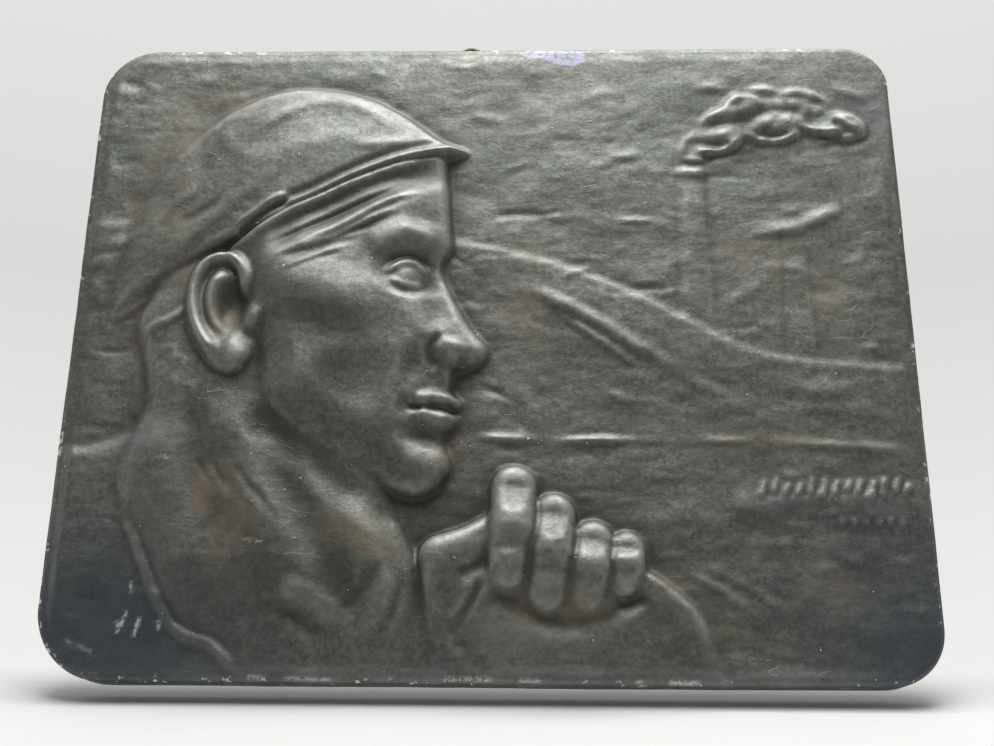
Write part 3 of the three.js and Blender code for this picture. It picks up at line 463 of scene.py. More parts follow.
PALM = [(-30, -102), (-20, -97), (0, -90), (36, -100), (64, -107), (78, -115), (88, -123), (95, -131.5),
        (98, -142), (99, -172), (-18, -172), (-26, -147), (-30, -122)]
PALM_FORMS = [
    (5.2, 13, [(-8, -135), (10, -142), (32, -151), (52, -164)]),
    (-3.2, 3.4, [(-1, -113), (-5, -121), (-11, -131), (-18, -139)], 0.25),
    (-2.2, 7, [(-15, -116), (0, -109), (10, -112)], 0.25),
    (-2.6, 8, [(6, -146), (26, -152), (50, -166)], 0.25),
    (1.8, 4.5, [(66, -109), (78, -116.5), (87, -124.5), (93, -133), (95.5, -146)], 0.15),
    (-1.9, 8, [(50, -122), (68, -125), (82, -138)], 0.25),
    (-3.4, 7, [(-2, -120), (10, -124), (26, -132), (44, -133), (62, -125), (72, -116)], 0.1),
    (2.0, 6, [(26, -140), (50, -144), (70, -152)], 0.3),
    (2.2, 4, [(-20, -136), (-13, -146), (-4, -156)], 0.3),
    (-1.8, 4, [(-12, -138), (-5, -147), (4, -156)], 0.3),
]
THUMB = [  # line, half widths and heights along it
    ([(-20.5, -105), (-8, -100), (5, -93)], (10, 9, 9), (12.5, 11.5, 10)),
    ([(-20, -107), (-18, -126), (-13, -152)], (10, 9.5, 12), (12, 9, 5)),
]
FINGERS = [  # top and tip, half width, and how far the middle joint stands out
    ((11.8, -74), (9.2, -111), 10.4, 17.5),
    ((29.4, -86.5), (26.6, -120), 10.0, 16.5),
    ((46.8, -98), (43.2, -121), 9.4, 15),
    ((61.8, -101.6), (60.0, -115), 8.2, 13.5),
]


def limb(line, halves, heights):
    """A form with round ends along a line, flatter across its top than a tube."""
    away, along = nearest(X, Z, curve(line, False, 4))
    half = np.interp(along, np.linspace(0, 1, len(halves)), halves)
    across = np.sqrt(1 - np.clip(away / half, 0, 1) ** 2.6)
    height = np.interp(along, np.linspace(0, 1, len(heights)), heights)
    return height * (0.4 * ease(0, 0.45, across) + 0.6 * across)


def palm():
    field = shoulder(depth_in(PALM), 8, 8)
    add_mounds(field, [(3.2, -8, -120, 34, 26, 0), (-1.5, 72, -134, 18, 12, -40)])
    add_ridges(field, PALM_FORMS)
    return field


def finger(top, tip, half, joint_rise):
    """A bent finger: it leans out from the knuckle to its middle joint and back in to its tip."""
    (x0, z0), (x1, z1) = top, tip
    middle = (x0 * 0.48 + x1 * 0.52 + 0.6, z0 * 0.48 + z1 * 0.52)
    widths = [half * k for k in (1.02, 1.0, 1.0, 1.03, 1.02, 1.0, 0.94)]
    heights = [joint_rise * k for k in (0.62, 0.78, 0.94, 1.0, 0.90, 0.84, 0.78)]
    field = limb([top, middle, tip], widths, heights)
    for place, depth, wide in ((0.76, -0.6, 2.8), (0.5, -0.3, 1.3), (0.43, -0.25, 1.2)):
        x, z = x0 + place * (x1 - x0), z0 + place * (z1 - z0)
        add_ridge(field, depth, wide, [(x - 0.8 * half, z + 1.6), (x, z - 0.8), (x + 0.8 * half, z + 1.4)],
                  0.25)
    x, z = x0 + 0.9 * (x1 - x0), z0 + 0.9 * (z1 - z0)
    add_mounds(field, [(1.6, x, z, half * 0.9, half * 0.8, 0), (-0.8, x0, z0 - 6, half * 0.7, 9, 0)])
    return field


def tool_marks(count=420):
    """Short shallow strokes, level in the sky and on the ground, and down the slope on the hill."""
    chance = np.random.default_rng(11)
    field = np.zeros(X.shape)
    for _ in range(count):
        x, z = chance.uniform(-196, 196), chance.uniform(-156, 156)
        tilt = chance.normal(-0.45 if -48 < z < 45 - 0.45 * x and x > -40 else 0.03, 0.16)
        long, bow = chance.uniform(5, 14), chance.normal(0, 1.2)
        dx, dz = long * math.cos(tilt), long * math.sin(tilt)
        height, half = chance.normal(0, 0.24), chance.uniform(2.0, 4.8)
        add_ridge(field, height, half, [(x - dx, z - dz), (x, z + bow), (x + dx, z + dz)], 0.4, 3)
    return field


# ---------- the whole relief ----------


def depth_in_plate(x, z):
    """Distance inside the plain rounded rectangle, and the direction out of it."""
    sx, sz = np.where(x < 0, -1, 1), np.where(z < 0, -1, 1)
    radius = np.select([(sx == kx) & (sz == kz) for kx, kz in CORNERS], list(CORNERS.values()))
    dx, dz = np.abs(x) - WIDTH / 2 + radius, np.abs(z) - HEIGHT / 2 + radius
    away = np.hypot(np.maximum(dx, 0), np.maximum(dz, 0))
    depth = radius - away - np.minimum(np.maximum(dx, dz), 0)
    out_x = np.where(away > 0, np.maximum(dx, 0), (dx >= dz) * 1.0)
    out_z = np.where(away > 0, np.maximum(dz, 0), (dx < dz) * 1.0)
    size = np.maximum(np.hypot(out_x, out_z), 1e-9)
    return depth, sx * out_x / size, sz * out_z / size


HOLLOW = shifted([(-20, 92), (-30, 90), (-47, 84), (-68, 74), (-83, 66), (-97, 59), (-111, 50), (-124, 41)],
                 3, -5.5)


def relief():
    field = background()
    field = soft_max(field, shoulder(depth_in(SHIRT), 9, 3.6) - 0.2, 1.5)
    field = soft_max(field, neck(), 1.2)
    covering, cap_depth = cap()
    under = head()
    add_ridge(under, -5.0, 12, HOLLOW, 0.25)
    bare = 1 - ease(0.5, 4, cap_depth)
    field = soft_max(field, under - 14 * (1 - bare), 1) + ear() * bare
    field = soft_max(field, covering, 0.6)
    field = soft_max(field, palm(), 1.5)
    for line, halves, heights in THUMB:
        field = soft_max(field, limb(line, halves, heights), 1.2)
    for parts in FINGERS:
        top = finger(*parts)
        field = np.where(top > 0.3, soft_max(field, top, 0.6), field)
    field *= 1 - 0.78 * ease(-104, -154, Z)
    add_ridge(field, 2.4, 3.2, NECKLINE, 0.2)
    return field


edge_depth, _, _ = depth_in_plate(X, Z)
form = blur(relief(), 0.7)
tooling = 0.02 * cloud(4, 1.0) + 0.025 * cloud(1.1) + 0.055 * cloud(2.2, 1.6)
tooling = tooling + 0.13 * cloud(5, 4) + 0.26 * cloud(11, 9)
form += tooling * (0.6 + 0.4 * ease(9, 4, form)) + tool_marks() * (0.3 + 0.7 * ease(6, 3, form))
surface = form * ease(EDGE_ROLL + 0.6, EDGE_ROLL + 5.5, edge_depth)

# ---------- wear, dirt and painted shade and highlight, as fields ---

rub = np.clip((form - blur(form, 1.8) - 0.04) / 0.30, 0, 1) * 0.8
rub += np.clip((form - blur(form, 6)) / 3, 0, 1) * 0.3
cavity = np.clip((blur(form, 3) - form) / 0.8, 0, 1) * 0.5
cavity += np.clip((blur(form, 9) - form) / 2.5, 0, 1) * 0.7
OCHRE = [  # strength, middle, radii, turn: brown or golden dirt
    (1.0, -124, 11, 12, 20, -12), (1.0, -60, -96, 34, 14, -20), (0.8, 48, -126, 34, 10, -15),
    (0.6, -150, 118, 44, 26, 40),
    (0.8, 152, -118, 22, 26, 0), (0.7, -118, -78, 26, 26, -40), (0.6, -172, 2, 12, 22, 0),
    (0.7, -112, -146, 16, 9, 0),
    (0.6, 128, 40, 36, 22, 15), (0.5, 16, 20, 18, 60, 0), (0.5, -150, -96, 14, 40, 20),
    (0.5, 120, -48, 60, 14, 0),
    (0.6, -20, -60, 26, 16, 0), (0.4, 20, -130, 40, 20, 0), (0.5, -158, 60, 30, 50, 20),
    (0.5, -120, -104, 34, 40, 30),
    (0.5, 92, -126, 34, 20, -20), (0.5, 160, 24, 34, 20, 20),
]
GRIME_AND_SHADE = [  # darker patina and painted shade; part of it is painted shade that makes up for light and shape
    (1.0, -108, -76, 44, 58, -16), (0.7, -84, -112, 42, 30, -30), (0.8, -84, 6, 44, 44, 0),
    (0.6, -140, -60, 30, 50, 0), (0.5, 60, 52, 44, 34, 0),
    (0.7, -122, 10, 20, 30, 0), (0.5, 152, 30, 44, 26, 20), (0.5, -60, -112, 44, 22, -20),
    (0.9, -92, 126, 50, 18, 8), (1.0, -124, 11, 9, 16, -12), (0.9, -192, -12, 20, 60, 0),
    (0.7, -72, -80, 44, 20, -35), (0.7, 40, 62, 50, 26, 0), (0.3, -156, 70, 40, 62, 20),
    (0.6, 10, 118, 70, 36, 0),
]
grime_and_shade = np.zeros(X.shape)
add_mounds(grime_and_shade, GRIME_AND_SHADE)
# painted shadow: a dark band under the cap's brim, where its shade falls
add_ridge(grime_and_shade, 1.5, 8, HOLLOW, 0.12)
# painted shade under the jaw
add_ridge(grime_and_shade, 1.0, 10, shifted(HEAD[22:27], -2, -7), 0.2)
# painted shade along both sides of each stack, darker on the right, to show its edges
for cx, foot, top, foot_half, top_half in STACKS:
    add_ridge(grime_and_shade, 1.3, 2.6, [(cx + foot_half + 2, foot), (cx + top_half + 2, top)], 0.08)
    add_ridge(grime_and_shade, 0.7, 2, [(cx - foot_half - 2, foot), (cx - top_half - 2, top)], 0.08)
grime_and_shade = np.clip(grime_and_shade * (1 + 0.2 * cloud(8)), 0, 1)
PALE_AND_HIGHLIGHT = [  # paler patina and painted highlight; part of it is painted light that makes up for light and shape
    (0.8, 12, -138, 38, 18, -15), (0.4, 150, -74, 56, 18, 0), (0.8, 188, 122, 22, 34, 0),
    (0.5, 8, -98, 30, 16, 20),
    (0.5, -160, -52, 40, 12, 10),
]
# painted reflection of the table: a paler band along the bottom lip
pale_and_highlight = 0.8 * ease(-150.5, -156, Z)
add_mounds(pale_and_highlight, PALE_AND_HIGHLIGHT)
# painted highlight just inside the right edge of each stack
for cx, foot, top, foot_half, top_half in STACKS:
    add_ridge(pale_and_highlight, 0.6, 1.6, [(cx + foot_half - 0.6, foot), (cx + top_half - 0.6, top)], 0.08)
pale_and_highlight = np.clip(pale_and_highlight * (1 + 0.3 * cloud(5)), 0, 1)
ochre = np.zeros(X.shape)
add_mounds(ochre, OCHRE)
ochre = np.clip(ochre * (1 + 0.35 * cloud(5)) + 0.25 * cavity * (ochre > 0.02), 0, 1)
# darker and bluer towards the lower corners: partly a blue-black tint, partly painted shade
low_corners = ease(-95, -185, X + 0.5 * (Z + 100)) + ease(120, 185, X)
blue_and_shade = ease(-58, -146, Z) * low_corners * (1 + 0.08 * cloud(12))
blue_and_shade = np.clip(blue_and_shade, 0, 1)
scrape = np.zeros(X.shape)
SCRAPES = [
    (1, 0.8, [(-158, -128), (-160, -134), (-162, -139)]), (0.8, 0.7, [(-163, -133), (-160, -137)]),
    (1, 0.8, [(-152.5, -130), (-153.5, -137), (-154.5, -141)]), (0.9, 1.3, [(-145, -133), (-143, -137)]),
    (0.4, 0.7, [(-186, -141), (-178, -145), (-171, -148)]), (0.5, 0.7, [(-158, -116), (-157, -122)]),
    (0.5, 0.8, [(-108, -99), (-98, -100)]), (0.5, 0.8, [(-150, -60), (-143, -62)]),
    (0.8, 1.1, [(-20, -158.2), (-8, -158.0), (4, -158.2)]), (0.8, 1.1, [(14, -158.3), (24, -158.3)]),
    (0.8, 1.0, [(64, -158.4), (68, -158.4)]), (0.9, 1.3, [(78, -158.3), (86, -158.7), (92, -158.8)]),
    (0.7, 1.0, [(-104, -157.6), (-96, -157.9)]), (0.7, 0.9, [(-88, -158), (-66, -158.4)]),
]
add_ridges(scrape, [(*one, 0.12) for one in SCRAPES])
scrape = np.clip(scrape, 0, 1)
smear = np.clip(oval(37, 154.4, 12, 5.4, -4) + oval(22, 156.6, 10, 3), 0, 1) ** 0.5 * (1 + 0.22 * cloud(1.6))
worn = np.maximum(ease(70, 15, np.hypot(X + 195, Z + 145)), 0.6 * ease(-150, -158, Z) * ease(60, -110, X))

# ---------- meshes ----------


def spaced(half, zones, coarse):
    """Places across the plate, close together in the listed zones and along the rolled edge."""
    places = [-half]
    while places[-1] < half:
        x = places[-1]
        base = coarse
        for start, end, fine in zones:
            outside = max(start - x, x - end, 0)
            base = min(base, fine + (coarse - fine) * float(ease(0, 22, outside)))
        places.append(x + min(base, 0.45 + 0.3 * (half - abs(x))))
    places = np.array(places)
    return (places + half) * (2 * half / (places[-1] + half)) - half


def mirrored(half, insets, step):
    """Places across the plate from listed insets at both edges and even steps between them."""
    inner = half - insets[-1]
    between = np.linspace(-inner, inner, int(round(2 * inner / step)) + 1)[1:-1]
    return np.concatenate([np.array(insets) - half, between, half - np.array(insets[::-1])])


def round_corners(u, v):
    """Moves a rectangle's points so that its corner squares become quarter discs."""
    x, z = u.copy(), v.copy()
    for (sx, sz), radius in CORNERS.items():
        a, b = sx * u - WIDTH / 2 + radius, sz * v - HEIGHT / 2 + radius
        at = (a > 0) & (b > 0)
        a, b = a[at], b[at]
        angle = np.where(a > b, math.pi / 4 * b / a, math.pi / 2 - math.pi / 4 * a / b)
        reach = np.maximum(a, b)
        x[at] = sx * (WIDTH / 2 - radius + reach * np.cos(angle))
        z[at] = sz * (HEIGHT / 2 - radius + reach * np.sin(angle))
    return x, z


def wander(x, z):
    """How far the hand-made outline comes in at a point, in millimetres."""
    turn = np.arctan2(z / HEIGHT, x / WIDTH)
    waves = sum(np.sin(k * turn + 1.7 * k * k) / k**0.5 for k in (3, 5, 8, 13, 21, 34, 55))
    return 0.16 * (waves + 2.6)


def sample(field, x, z):
    """The field's value at points between its grid's."""
    i = np.clip((x - XS[0]) / STEP, 0, len(XS) - 1.001)
    j = np.clip((z - ZS[0]) / STEP, 0, len(ZS) - 1.001)
    i0, j0 = i.astype(int), j.astype(int)
    a, b = i - i0, j - j0
    low = field[j0, i0] * (1 - a) + field[j0, i0 + 1] * a
    high = field[j0 + 1, i0] * (1 - a) + field[j0 + 1, i0 + 1] * a
    return low * (1 - b) + high * b


def border(columns, rows):
    """Indices round a grid, anticlockwise from its lower left corner."""
    grid = np.arange(columns * rows).reshape(rows, columns)
    return np.concatenate([grid[0, :-1], grid[:-1, -1], grid[-1, :0:-1], grid[:0:-1, 0]])


def along_border(u, v):
    """Each border point's place along the plain rectangle's edge, from its lower left corner."""
    w, h = WIDTH, HEIGHT
    return np.concatenate([u[:-1] + w / 2, w + v[:-1] + h / 2, w + h + w / 2 - u[:0:-1],
                           2 * w + h + h / 2 - v[:0:-1]])


def grid_faces(columns, rows, first, turned):
    grid = np.arange(columns * rows).reshape(rows, columns) + first
    quads = np.stack([grid[:-1, :-1], grid[:-1, 1:], grid[1:, 1:], grid[1:, :-1]], -1).reshape(-1, 4)
    return quads[:, ::-1] if turned else quads


def zip_borders(front, front_place, back, back_place):
    """Triangles that join two loops round the same edge."""
    triangles = []
    full_turn, never = 2 * (WIDTH + HEIGHT), 1e9
    front_place = [*front_place, full_turn, never]
    back_place = [*back_place, full_turn, never]
    i = j = 0
    while i < len(front) or j < len(back):
        next_front, next_back = front_place[i + 1], back_place[j + 1]
        a, b = front[i % len(front)], back[j % len(back)]
        if next_front <= next_back:
            triangles.append((b, front[(i + 1) % len(front)], a))
            i += 1
        else:
            triangles.append((a, b, back[(j + 1) % len(back)]))
            j += 1
    return triangles


def casting_front():
    u1 = spaced(WIDTH / 2, [(-150, 74, 1.13), (124, 190, 1.2)], 1.66)
    v1 = spaced(HEIGHT / 2, [(-126, 108, 1.12)], 1.66)
    u, v = np.meshgrid(u1, v1)
    x, z = round_corners(u, v)
    depth, out_x, out_z = depth_in_plate(x, z)
    rolled = np.clip(EDGE_ROLL - depth, 0, EDGE_ROLL)
    drop = EDGE_ROLL - np.sqrt(np.maximum(EDGE_ROLL**2 - rolled**2, 0))
    y = -(DEPTH + sample(surface, x, z) - drop)
    y = np.maximum(y, -TOP_OF_RELIEF)
    inwards = wander(x, z) * ease(16, 0, depth)
    points = np.stack([x - out_x * inwards, y, z - out_z * inwards], -1).reshape(-1, 3)
    values = {name: sample(field, x, z).ravel() for name, field in FIELDS.items()}
    values["edge"] = ease(3.4, 0.6, depth).ravel()
    return points, values, u1, v1


def casting_back():
    insets = [0, 0.3, 0.9, 3.5, 6.2, 6.7, 7.3, 8.0, 8.7, 9.4, 10.6, 13]
    u1, v1 = mirrored(WIDTH / 2, insets, 5.2), mirrored(HEIGHT / 2, insets, 5.2)
    u, v = np.meshgrid(u1, v1)
    x, z = round_corners(u, v)
    depth, out_x, out_z = depth_in_plate(x, z)
    floor = WALL - DEPTH
    y = np.interp(depth, [0, 0.3, 0.9, 6.2, 6.7, 7.3, 8.7, 9.4, 10.6],
                  [-0.9, -0.3, 0, 0, -0.3, -1.4, floor + 1.8, floor + 0.5, floor])
    pocket = (((x + 98) / 62) ** 2 + ((z - 35) / 88) ** 2) ** 0.5
    y -= POCKET_DEPTH * ease(1.0, 0.86, pocket)
    inwards = wander(x, z) * ease(6, 0, depth)
    points = np.stack([x - out_x * inwards, y, z - out_z * inwards], -1).reshape(-1, 3)
    return points, u1, v1


def new_object(name, points, faces, values=None):
    mesh = bpy.data.meshes.new(name)
    mesh.from_pydata(points.tolist(), [], faces)
    mesh.polygons.foreach_set("use_smooth", [True] * len(mesh.polygons))
    for key, numbers in (values or {}).items():
        layer = mesh.attributes.new(key, "FLOAT", "POINT")
        layer.data.foreach_set("value", np.asarray(numbers, np.float32))
    mesh.update()
    piece = bpy.data.objects.new(name, mesh)
    bpy.context.collection.objects.link(piece)
    return piece


def in_metres(points):
    return (points + np.array([0, 0, MIDDLE_Z])) * MM


# Some of these fields hold painted shade and highlight as well as patina.
FIELDS = {"rub": rub, "cavity": cavity, "ochre": ochre, "blue_and_shade": blue_and_shade, "grime_and_shade": grime_and_shade, "pale_and_highlight": pale_and_highlight,
          "scrape": scrape, "smear": smear,
          "worn": worn}


def make_casting():
    front, values, u1, v1 = casting_front()
    back, bu, bv = casting_back()
    first = len(front)
    faces = grid_faces(len(u1), len(v1), 0, False).tolist()
    faces += grid_faces(len(bu), len(bv), first, True).tolist()
    faces += zip_borders(border(len(u1), len(v1)), along_border(u1, v1),
                         border(len(bu), len(bv)) + first, along_border(bu, bv))
    values = {key: np.concatenate([numbers, np.zeros(len(back))]) for key, numbers in values.items()}
    return new_object("relief_casting", in_metres(np.vstack([front, back])), faces, values)


def make_loop():
    """The wire eye, with a blob of solder round each foot."""
    wire = 1.4
    outer = (loop_high[0] - loop_low[0]) / 2 / MM
    radius = outer - wire
    centre = np.array([(loop_high[0] + loop_low[0]) / 2, (loop_high[1] + loop_low[1]) / 2, loop_high[2]]) / MM
    centre[2] -= outer
    foot = plate_high[2] / MM - centre[2] - 0.4
    dip = math.asin(max(foot / radius, -1))
    around, along = 18, 56
    points, faces = [], []
    for i in range(along + 1):
        angle = dip + (math.pi - 2 * dip) * i / along
        ends = min(i, along - i)
        thick = wire * (1 + 0.75 * math.exp(-ends / 2.2))
        direction = np.array([math.cos(angle), 0, math.sin(angle)])
        for k in range(around):
            turn = 2 * math.pi * k / around
            points.append(centre + direction * (radius + thick * math.cos(turn))
                          + np.array([0, thick * math.sin(turn), 0]))
    for i in range(along):
        for k in range(around):
            a, b = i * around + k, i * around + (k + 1) % around
            faces.append((a, a + around, b + around, b))
    faces.append(tuple(range(around)))
    faces.append(tuple(range(along * around, (along + 1) * around))[::-1])
    return new_object("wire_loop", np.array(points) * MM, faces)


# ---------- materials ----------


class Nodes:
    """A material's node tree, with short calls for the nodes used here."""

    def __init__(self, name):
        self.material = bpy.data.materials.new(name)
        self.material.use_nodes = True
        self.tree = self.material.node_tree
        self.shader = self.tree.nodes["Principled BSDF"]
        self.place = self.add("ShaderNodeTexCoord").outputs["Object"]

    def add(self, kind, **settings):
        node = self.tree.nodes.new(kind)
        for key, value in settings.items():
            setattr(node, key, value)
        return node

    def link(self, source, target):
        if isinstance(source, (int, float, tuple)):
            target.default_value = source
        else:
            self.tree.links.new(source, target)

    def value(self, name):
        return self.add("ShaderNodeAttribute", attribute_name=name).outputs["Fac"]

    def noise(self, scale, detail=3.0, roughness=0.55, stretch=(1, 1, 1)):
        mapping = self.add("ShaderNodeMapping")
        mapping.inputs["Scale"].default_value = stretch
        self.link(self.place, mapping.inputs["Vector"])
        node = self.add("ShaderNodeTexNoise")
        node.inputs["Scale"].default_value = scale
        node.inputs["Detail"].default_value = detail
        node.inputs["Roughness"].default_value = roughness
        self.link(mapping.outputs["Vector"], node.inputs["Vector"])
        return node.outputs["Fac"]

    def creases(self, scale, width):
        """Thin winding lines, where smooth noise passes through its middle."""
        away = self.math("ABSOLUTE", self.math("SUBTRACT", self.noise(scale, 2, 0.5, (0.7, 1, 1.3)), 0.5), 0)
        return self.ramp(away, 0, width, 1, 0)

    def ramp(self, source, start, end, low=0.0, high=1.0):
        node = self.add("ShaderNodeMapRange", interpolation_type="SMOOTHSTEP")
        for socket, number in zip(("Value", "From Min", "From Max", "To Min", "To Max"),
                                  (source, start, end, low, high)):
            self.link(number, node.inputs[socket])
        return node.outputs["Result"]

    def math(self, operation, a, b):
        node = self.add("ShaderNodeMath", operation=operation)
        self.link(a, node.inputs[0])
        self.link(b, node.inputs[1])
        return node.outputs[0]

    def mix(self, amount, a, b):
        node = self.add("ShaderNodeMix", data_type="RGBA")
        self.link(amount, node.inputs["Factor"])
        self.link(a, node.inputs["A"] if not isinstance(a, tuple) else node.inputs[6])
        self.link(b, node.inputs["B"] if not isinstance(b, tuple) else node.inputs[7])
        return node.outputs[2]

    def bump(self, height, strength, distance, normal=None):
        node = self.add("ShaderNodeBump")
        node.inputs["Strength"].default_value = strength
        node.inputs["Distance"].default_value = distance
        self.link(height, node.inputs["Height"])
        if normal is not None:
            self.link(normal, node.inputs["Normal"])
        return node.outputs["Normal"]


def grey(r, g, b):
    return (r, g, b, 1.0)


# The colour also holds painted shade and highlight, from the darker, paler and blue fields.
def patina():
    n = Nodes("patinated_casting")
    patches = n.ramp(n.noise(22, 5, 0.6), 0.35, 0.68)
    fine = n.ramp(n.noise(260, 4, 0.65), 0.35, 0.7)
    colour = n.mix(patches, grey(0.098, 0.108, 0.098), grey(0.160, 0.166, 0.142))
    colour = n.mix(n.math("MULTIPLY", fine, 0.35), colour, grey(0.19, 0.193, 0.172))
    grains = n.ramp(n.noise(420, 5, 0.75), 0.38, 0.62)
    colour = n.mix(n.math("MULTIPLY", grains, 0.55), colour, grey(0.040, 0.043, 0.038))
    creases = n.math("MULTIPLY", n.creases(45, 0.006), n.ramp(n.noise(55, 2), 0.50, 0.62))
    scratches = n.math("MULTIPLY", n.creases(20, 0.0012), n.ramp(n.noise(40, 3), 0.57, 0.64))
    colour = n.mix(n.math("MULTIPLY", scratches, 0.4), colour, grey(0.42, 0.42, 0.38))
    blots = n.ramp(n.noise(105, 7, 0.75, (0.6, 1, 1.15)), 0.49, 0.68)
    colour = n.mix(n.math("MULTIPLY", blots, 0.45), colour, grey(0.210, 0.214, 0.188))
    # darker patina and painted shade
    colour = n.mix(n.math("MULTIPLY", n.value("grime_and_shade"), 0.42), colour, grey(0.052, 0.054, 0.046))
    # paler patina and painted highlight
    colour = n.mix(n.math("MULTIPLY", n.value("pale_and_highlight"), 0.4), colour, grey(0.235, 0.243, 0.245))
    colour = n.mix(n.math("MULTIPLY", n.value("cavity"), 0.7), colour, grey(0.045, 0.045, 0.038))
    rubbed = n.math("MULTIPLY", n.value("rub"), n.ramp(n.noise(180, 4, 0.7), 0.30, 0.62, 0.35, 1.0))
    colour = n.mix(n.math("MULTIPLY", rubbed, 0.45), colour, grey(0.38, 0.38, 0.35))
    dirt = n.math("MULTIPLY", n.value("ochre"), n.ramp(n.noise(60, 6, 0.7), 0.34, 0.64))
    colour = n.mix(n.math("MULTIPLY", dirt, 0.68), colour, grey(0.19, 0.147, 0.10))
    # blue-black tint and painted shade towards the lower corners
    colour = n.mix(n.math("MULTIPLY", n.value("blue_and_shade"), 0.75), colour, grey(0.050, 0.058, 0.075))
    wear = n.math("ADD", n.noise(230, 3, 0.6), n.math("MULTIPLY", n.value("worn"), 0.06))
    chips = n.math("MULTIPLY", n.value("edge"), n.ramp(wear, 0.635, 0.66))
    specks = n.ramp(n.noise(420, 2, 0.5), 0.765, 0.785)
    white = n.math("MAXIMUM", n.math("MAXIMUM", chips, n.math("MULTIPLY", specks, 0.8)),
                   n.math("MULTIPLY", n.value("scrape"), n.ramp(n.noise(520, 3, 0.7), 0.38, 0.52)))
    colour = n.mix(n.math("MULTIPLY", white, 0.9), colour, grey(0.74, 0.74, 0.71))
    smear_mask = n.math("MULTIPLY", n.ramp(n.value("smear"), 0.25, 0.6),
                        n.ramp(n.noise(330, 4, 0.7), 0.38, 0.5))
    colour = n.mix(smear_mask, colour, grey(0.33, 0.33, 0.44))
    n.link(colour, n.shader.inputs["Base Color"])
    rough = n.ramp(n.noise(140, 4), 0.3, 0.7, 0.40, 0.52)
    rough = n.math("ADD", rough, n.math("MULTIPLY", n.math("MAXIMUM", dirt, white), 0.22))
    n.link(rough, n.shader.inputs["Roughness"])
    n.link(n.ramp(n.math("MAXIMUM", white, smear_mask), 0, 1, 0.42, 0.0), n.shader.inputs["Metallic"])
    grain = n.bump(n.noise(900, 5, 0.65), 0.25, 0.0005)
    lines = n.bump(creases, 0.3, 0.0004, grain)
    normal = n.bump(n.noise(130, 6, 0.72, (0.7, 1, 1.1)), 0.27, 0.0015, lines)
    n.link(normal, n.shader.inputs["Normal"])
    return n.material


def iron_wire():
    n = Nodes("dark_wire")
    rust = n.ramp(n.noise(400, 4), 0.5, 0.7)
    n.link(n.mix(rust, grey(0.035, 0.034, 0.034), grey(0.09, 0.05, 0.03)), n.shader.inputs["Base Color"])
    n.link(n.ramp(n.noise(600, 3), 0.3, 0.7, 0.4, 0.65), n.shader.inputs["Roughness"])
    n.shader.inputs["Metallic"].default_value = 0.7
    n.link(n.bump(n.noise(1500, 3), 0.3, 0.0002), n.shader.inputs["Normal"])
    return n.material


# ---------- stage, light and camera ----------

# The plate leans back on a table top, so the table slopes in the plate's frame.
LEAN = math.radians(23)


def make_floor():
    half_wide, deep, cells = 0.55, 0.34, 24
    points, faces = [], []
    for j in range(cells + 1):
        for i in range(cells + 1):
            x = half_wide * (2 * i / cells - 1)
            run = -deep + (deep + 0.05) * j / cells
            points.append((x, run * math.cos(LEAN), plate_low[2] - 0.004 + run * math.sin(LEAN)))
    for j in range(cells):
        for i in range(cells):
            a = j * (cells + 1) + i
            faces.append((a, a + 1, a + cells + 2, a + cells + 1))
    floor = new_object("table_top", np.array(points), faces)
    n = Nodes("table_top")
    n.shader.inputs["Base Color"].default_value = grey(0.54, 0.55, 0.54)
    n.shader.inputs["Roughness"].default_value = 0.7
    split = n.add("ShaderNodeSeparateXYZ")
    n.link(n.place, split.inputs[0])
    sides = n.ramp(n.math("ABSOLUTE", split.outputs["X"], 0), 0.30, 0.54, 1, 0)
    front = n.ramp(split.outputs["Y"], -0.16, -0.04, 0, 1)
    back = n.ramp(split.outputs["Y"], 0.0, 0.044, 1, 0)
    n.link(n.math("MULTIPLY", n.math("MULTIPLY", sides, front), back), n.shader.inputs["Alpha"])
    floor.data.materials.append(n.material)


def area_light(name, at, towards, size, power, tint=(1, 1, 1)):
    lamp = bpy.data.lights.new(name, "AREA")
    lamp.shape, lamp.size, lamp.size_y = "RECTANGLE", size[0], size[1]
    lamp.energy, lamp.color = power, tint
    piece = bpy.data.objects.new(name, lamp)
    piece.location = at
    aim = piece.location - type(piece.location)(towards)
    piece.rotation_euler = aim.to_track_quat("Z", "Y").to_euler()
    bpy.context.collection.objects.link(piece)


# Elevation in degrees and brightness: what the camera sees of the room, and what lights the plate.
SEEN_TONES = [(-10, 0.93), (8, 0.86), (23, 0.70), (36, 0.78), (60, 0.80)]
FELT_TONES = [(-50, 0.54), (-12, 0.20), (14, 0.115), (38, 0.35), (72, 1.10)]


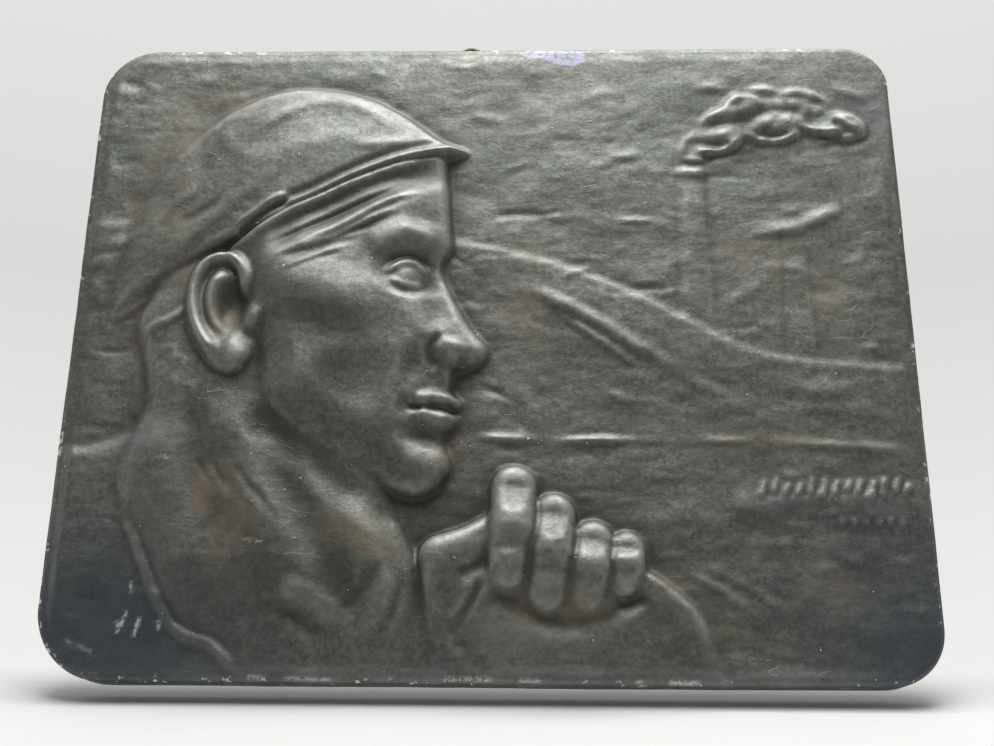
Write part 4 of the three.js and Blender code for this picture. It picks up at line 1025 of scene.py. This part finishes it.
def world_tones(tree, height, tones):
    """Grey by the elevation of the direction looked in."""
    ramp = tree.nodes.new("ShaderNodeValToRGB")
    stops = ramp.color_ramp.elements
    while len(stops) < len(tones):
        stops.new(0.5)
    for stop, (elevation, tone) in zip(stops, tones):
        stop.position = 0.5 + 0.5 * math.sin(math.radians(elevation))
        stop.color = (tone, tone, tone * 0.985, 1)
    half = tree.nodes.new("ShaderNodeMath")
    half.operation = "MULTIPLY_ADD"
    half.inputs[1].default_value = half.inputs[2].default_value = 0.5
    tree.links.new(height, half.inputs[0])
    tree.links.new(half.outputs[0], ramp.inputs[0])
    return ramp.outputs["Color"]


def light_room():
    world = bpy.data.worlds.new("room")
    bpy.context.scene.world = world
    world.use_nodes = True
    tree = world.node_tree
    direction = tree.nodes.new("ShaderNodeSeparateXYZ")
    tree.links.new(tree.nodes.new("ShaderNodeTexCoord").outputs["Generated"], direction.inputs[0])
    seen = world_tones(tree, direction.outputs["Z"], SEEN_TONES)
    felt = world_tones(tree, direction.outputs["Z"], FELT_TONES)
    choice = tree.nodes.new("ShaderNodeMix")
    choice.data_type = "RGBA"
    tree.links.new(tree.nodes.new("ShaderNodeLightPath").outputs["Is Camera Ray"], choice.inputs["Factor"])
    tree.links.new(felt, choice.inputs[6])
    tree.links.new(seen, choice.inputs[7])
    tree.links.new(choice.outputs[2], tree.nodes["Background"].inputs["Color"])
    middle = (0, -0.02, plate_low[2] / 2)
    area_light("front_softbox", (0.00, -0.52, 0.48), middle, (0.42, 0.22), 3.2)
    for side in (-1, 1):
        area_light(f"side_{side}", (0.75 * side, -0.12, -0.16), middle, (0.12, 0.4), 0.45)
    area_light("overhead", (0.04, -0.22, 0.62), middle, (0.9, 0.4), 10.4)


FIELD_OF_VIEW = 42.61          # degrees across


def set_camera():
    camera = bpy.data.cameras.new("camera")
    camera.sensor_width = 36
    camera.lens = 18 / math.tan(math.radians(FIELD_OF_VIEW) / 2)
    piece = bpy.data.objects.new("camera", camera)
    piece.location = (0.018, -(DEPTH + 561.3) * MM, (MIDDLE_Z - 216.1) * MM)
    piece.rotation_euler = [math.radians(turn) for turn in (109.49, -0.55, 1.29)]
    bpy.context.collection.objects.link(piece)
    bpy.context.scene.camera = piece


set_camera()
casting = make_casting()
casting.data.materials.append(patina())
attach(casting, "root")
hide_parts("relief_plate")

loop = make_loop()
loop.data.materials.append(iron_wire())
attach(loop, "root")
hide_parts("hanging_loop")

make_floor()
light_room()
bpy.context.scene.view_settings.view_transform = "Standard"
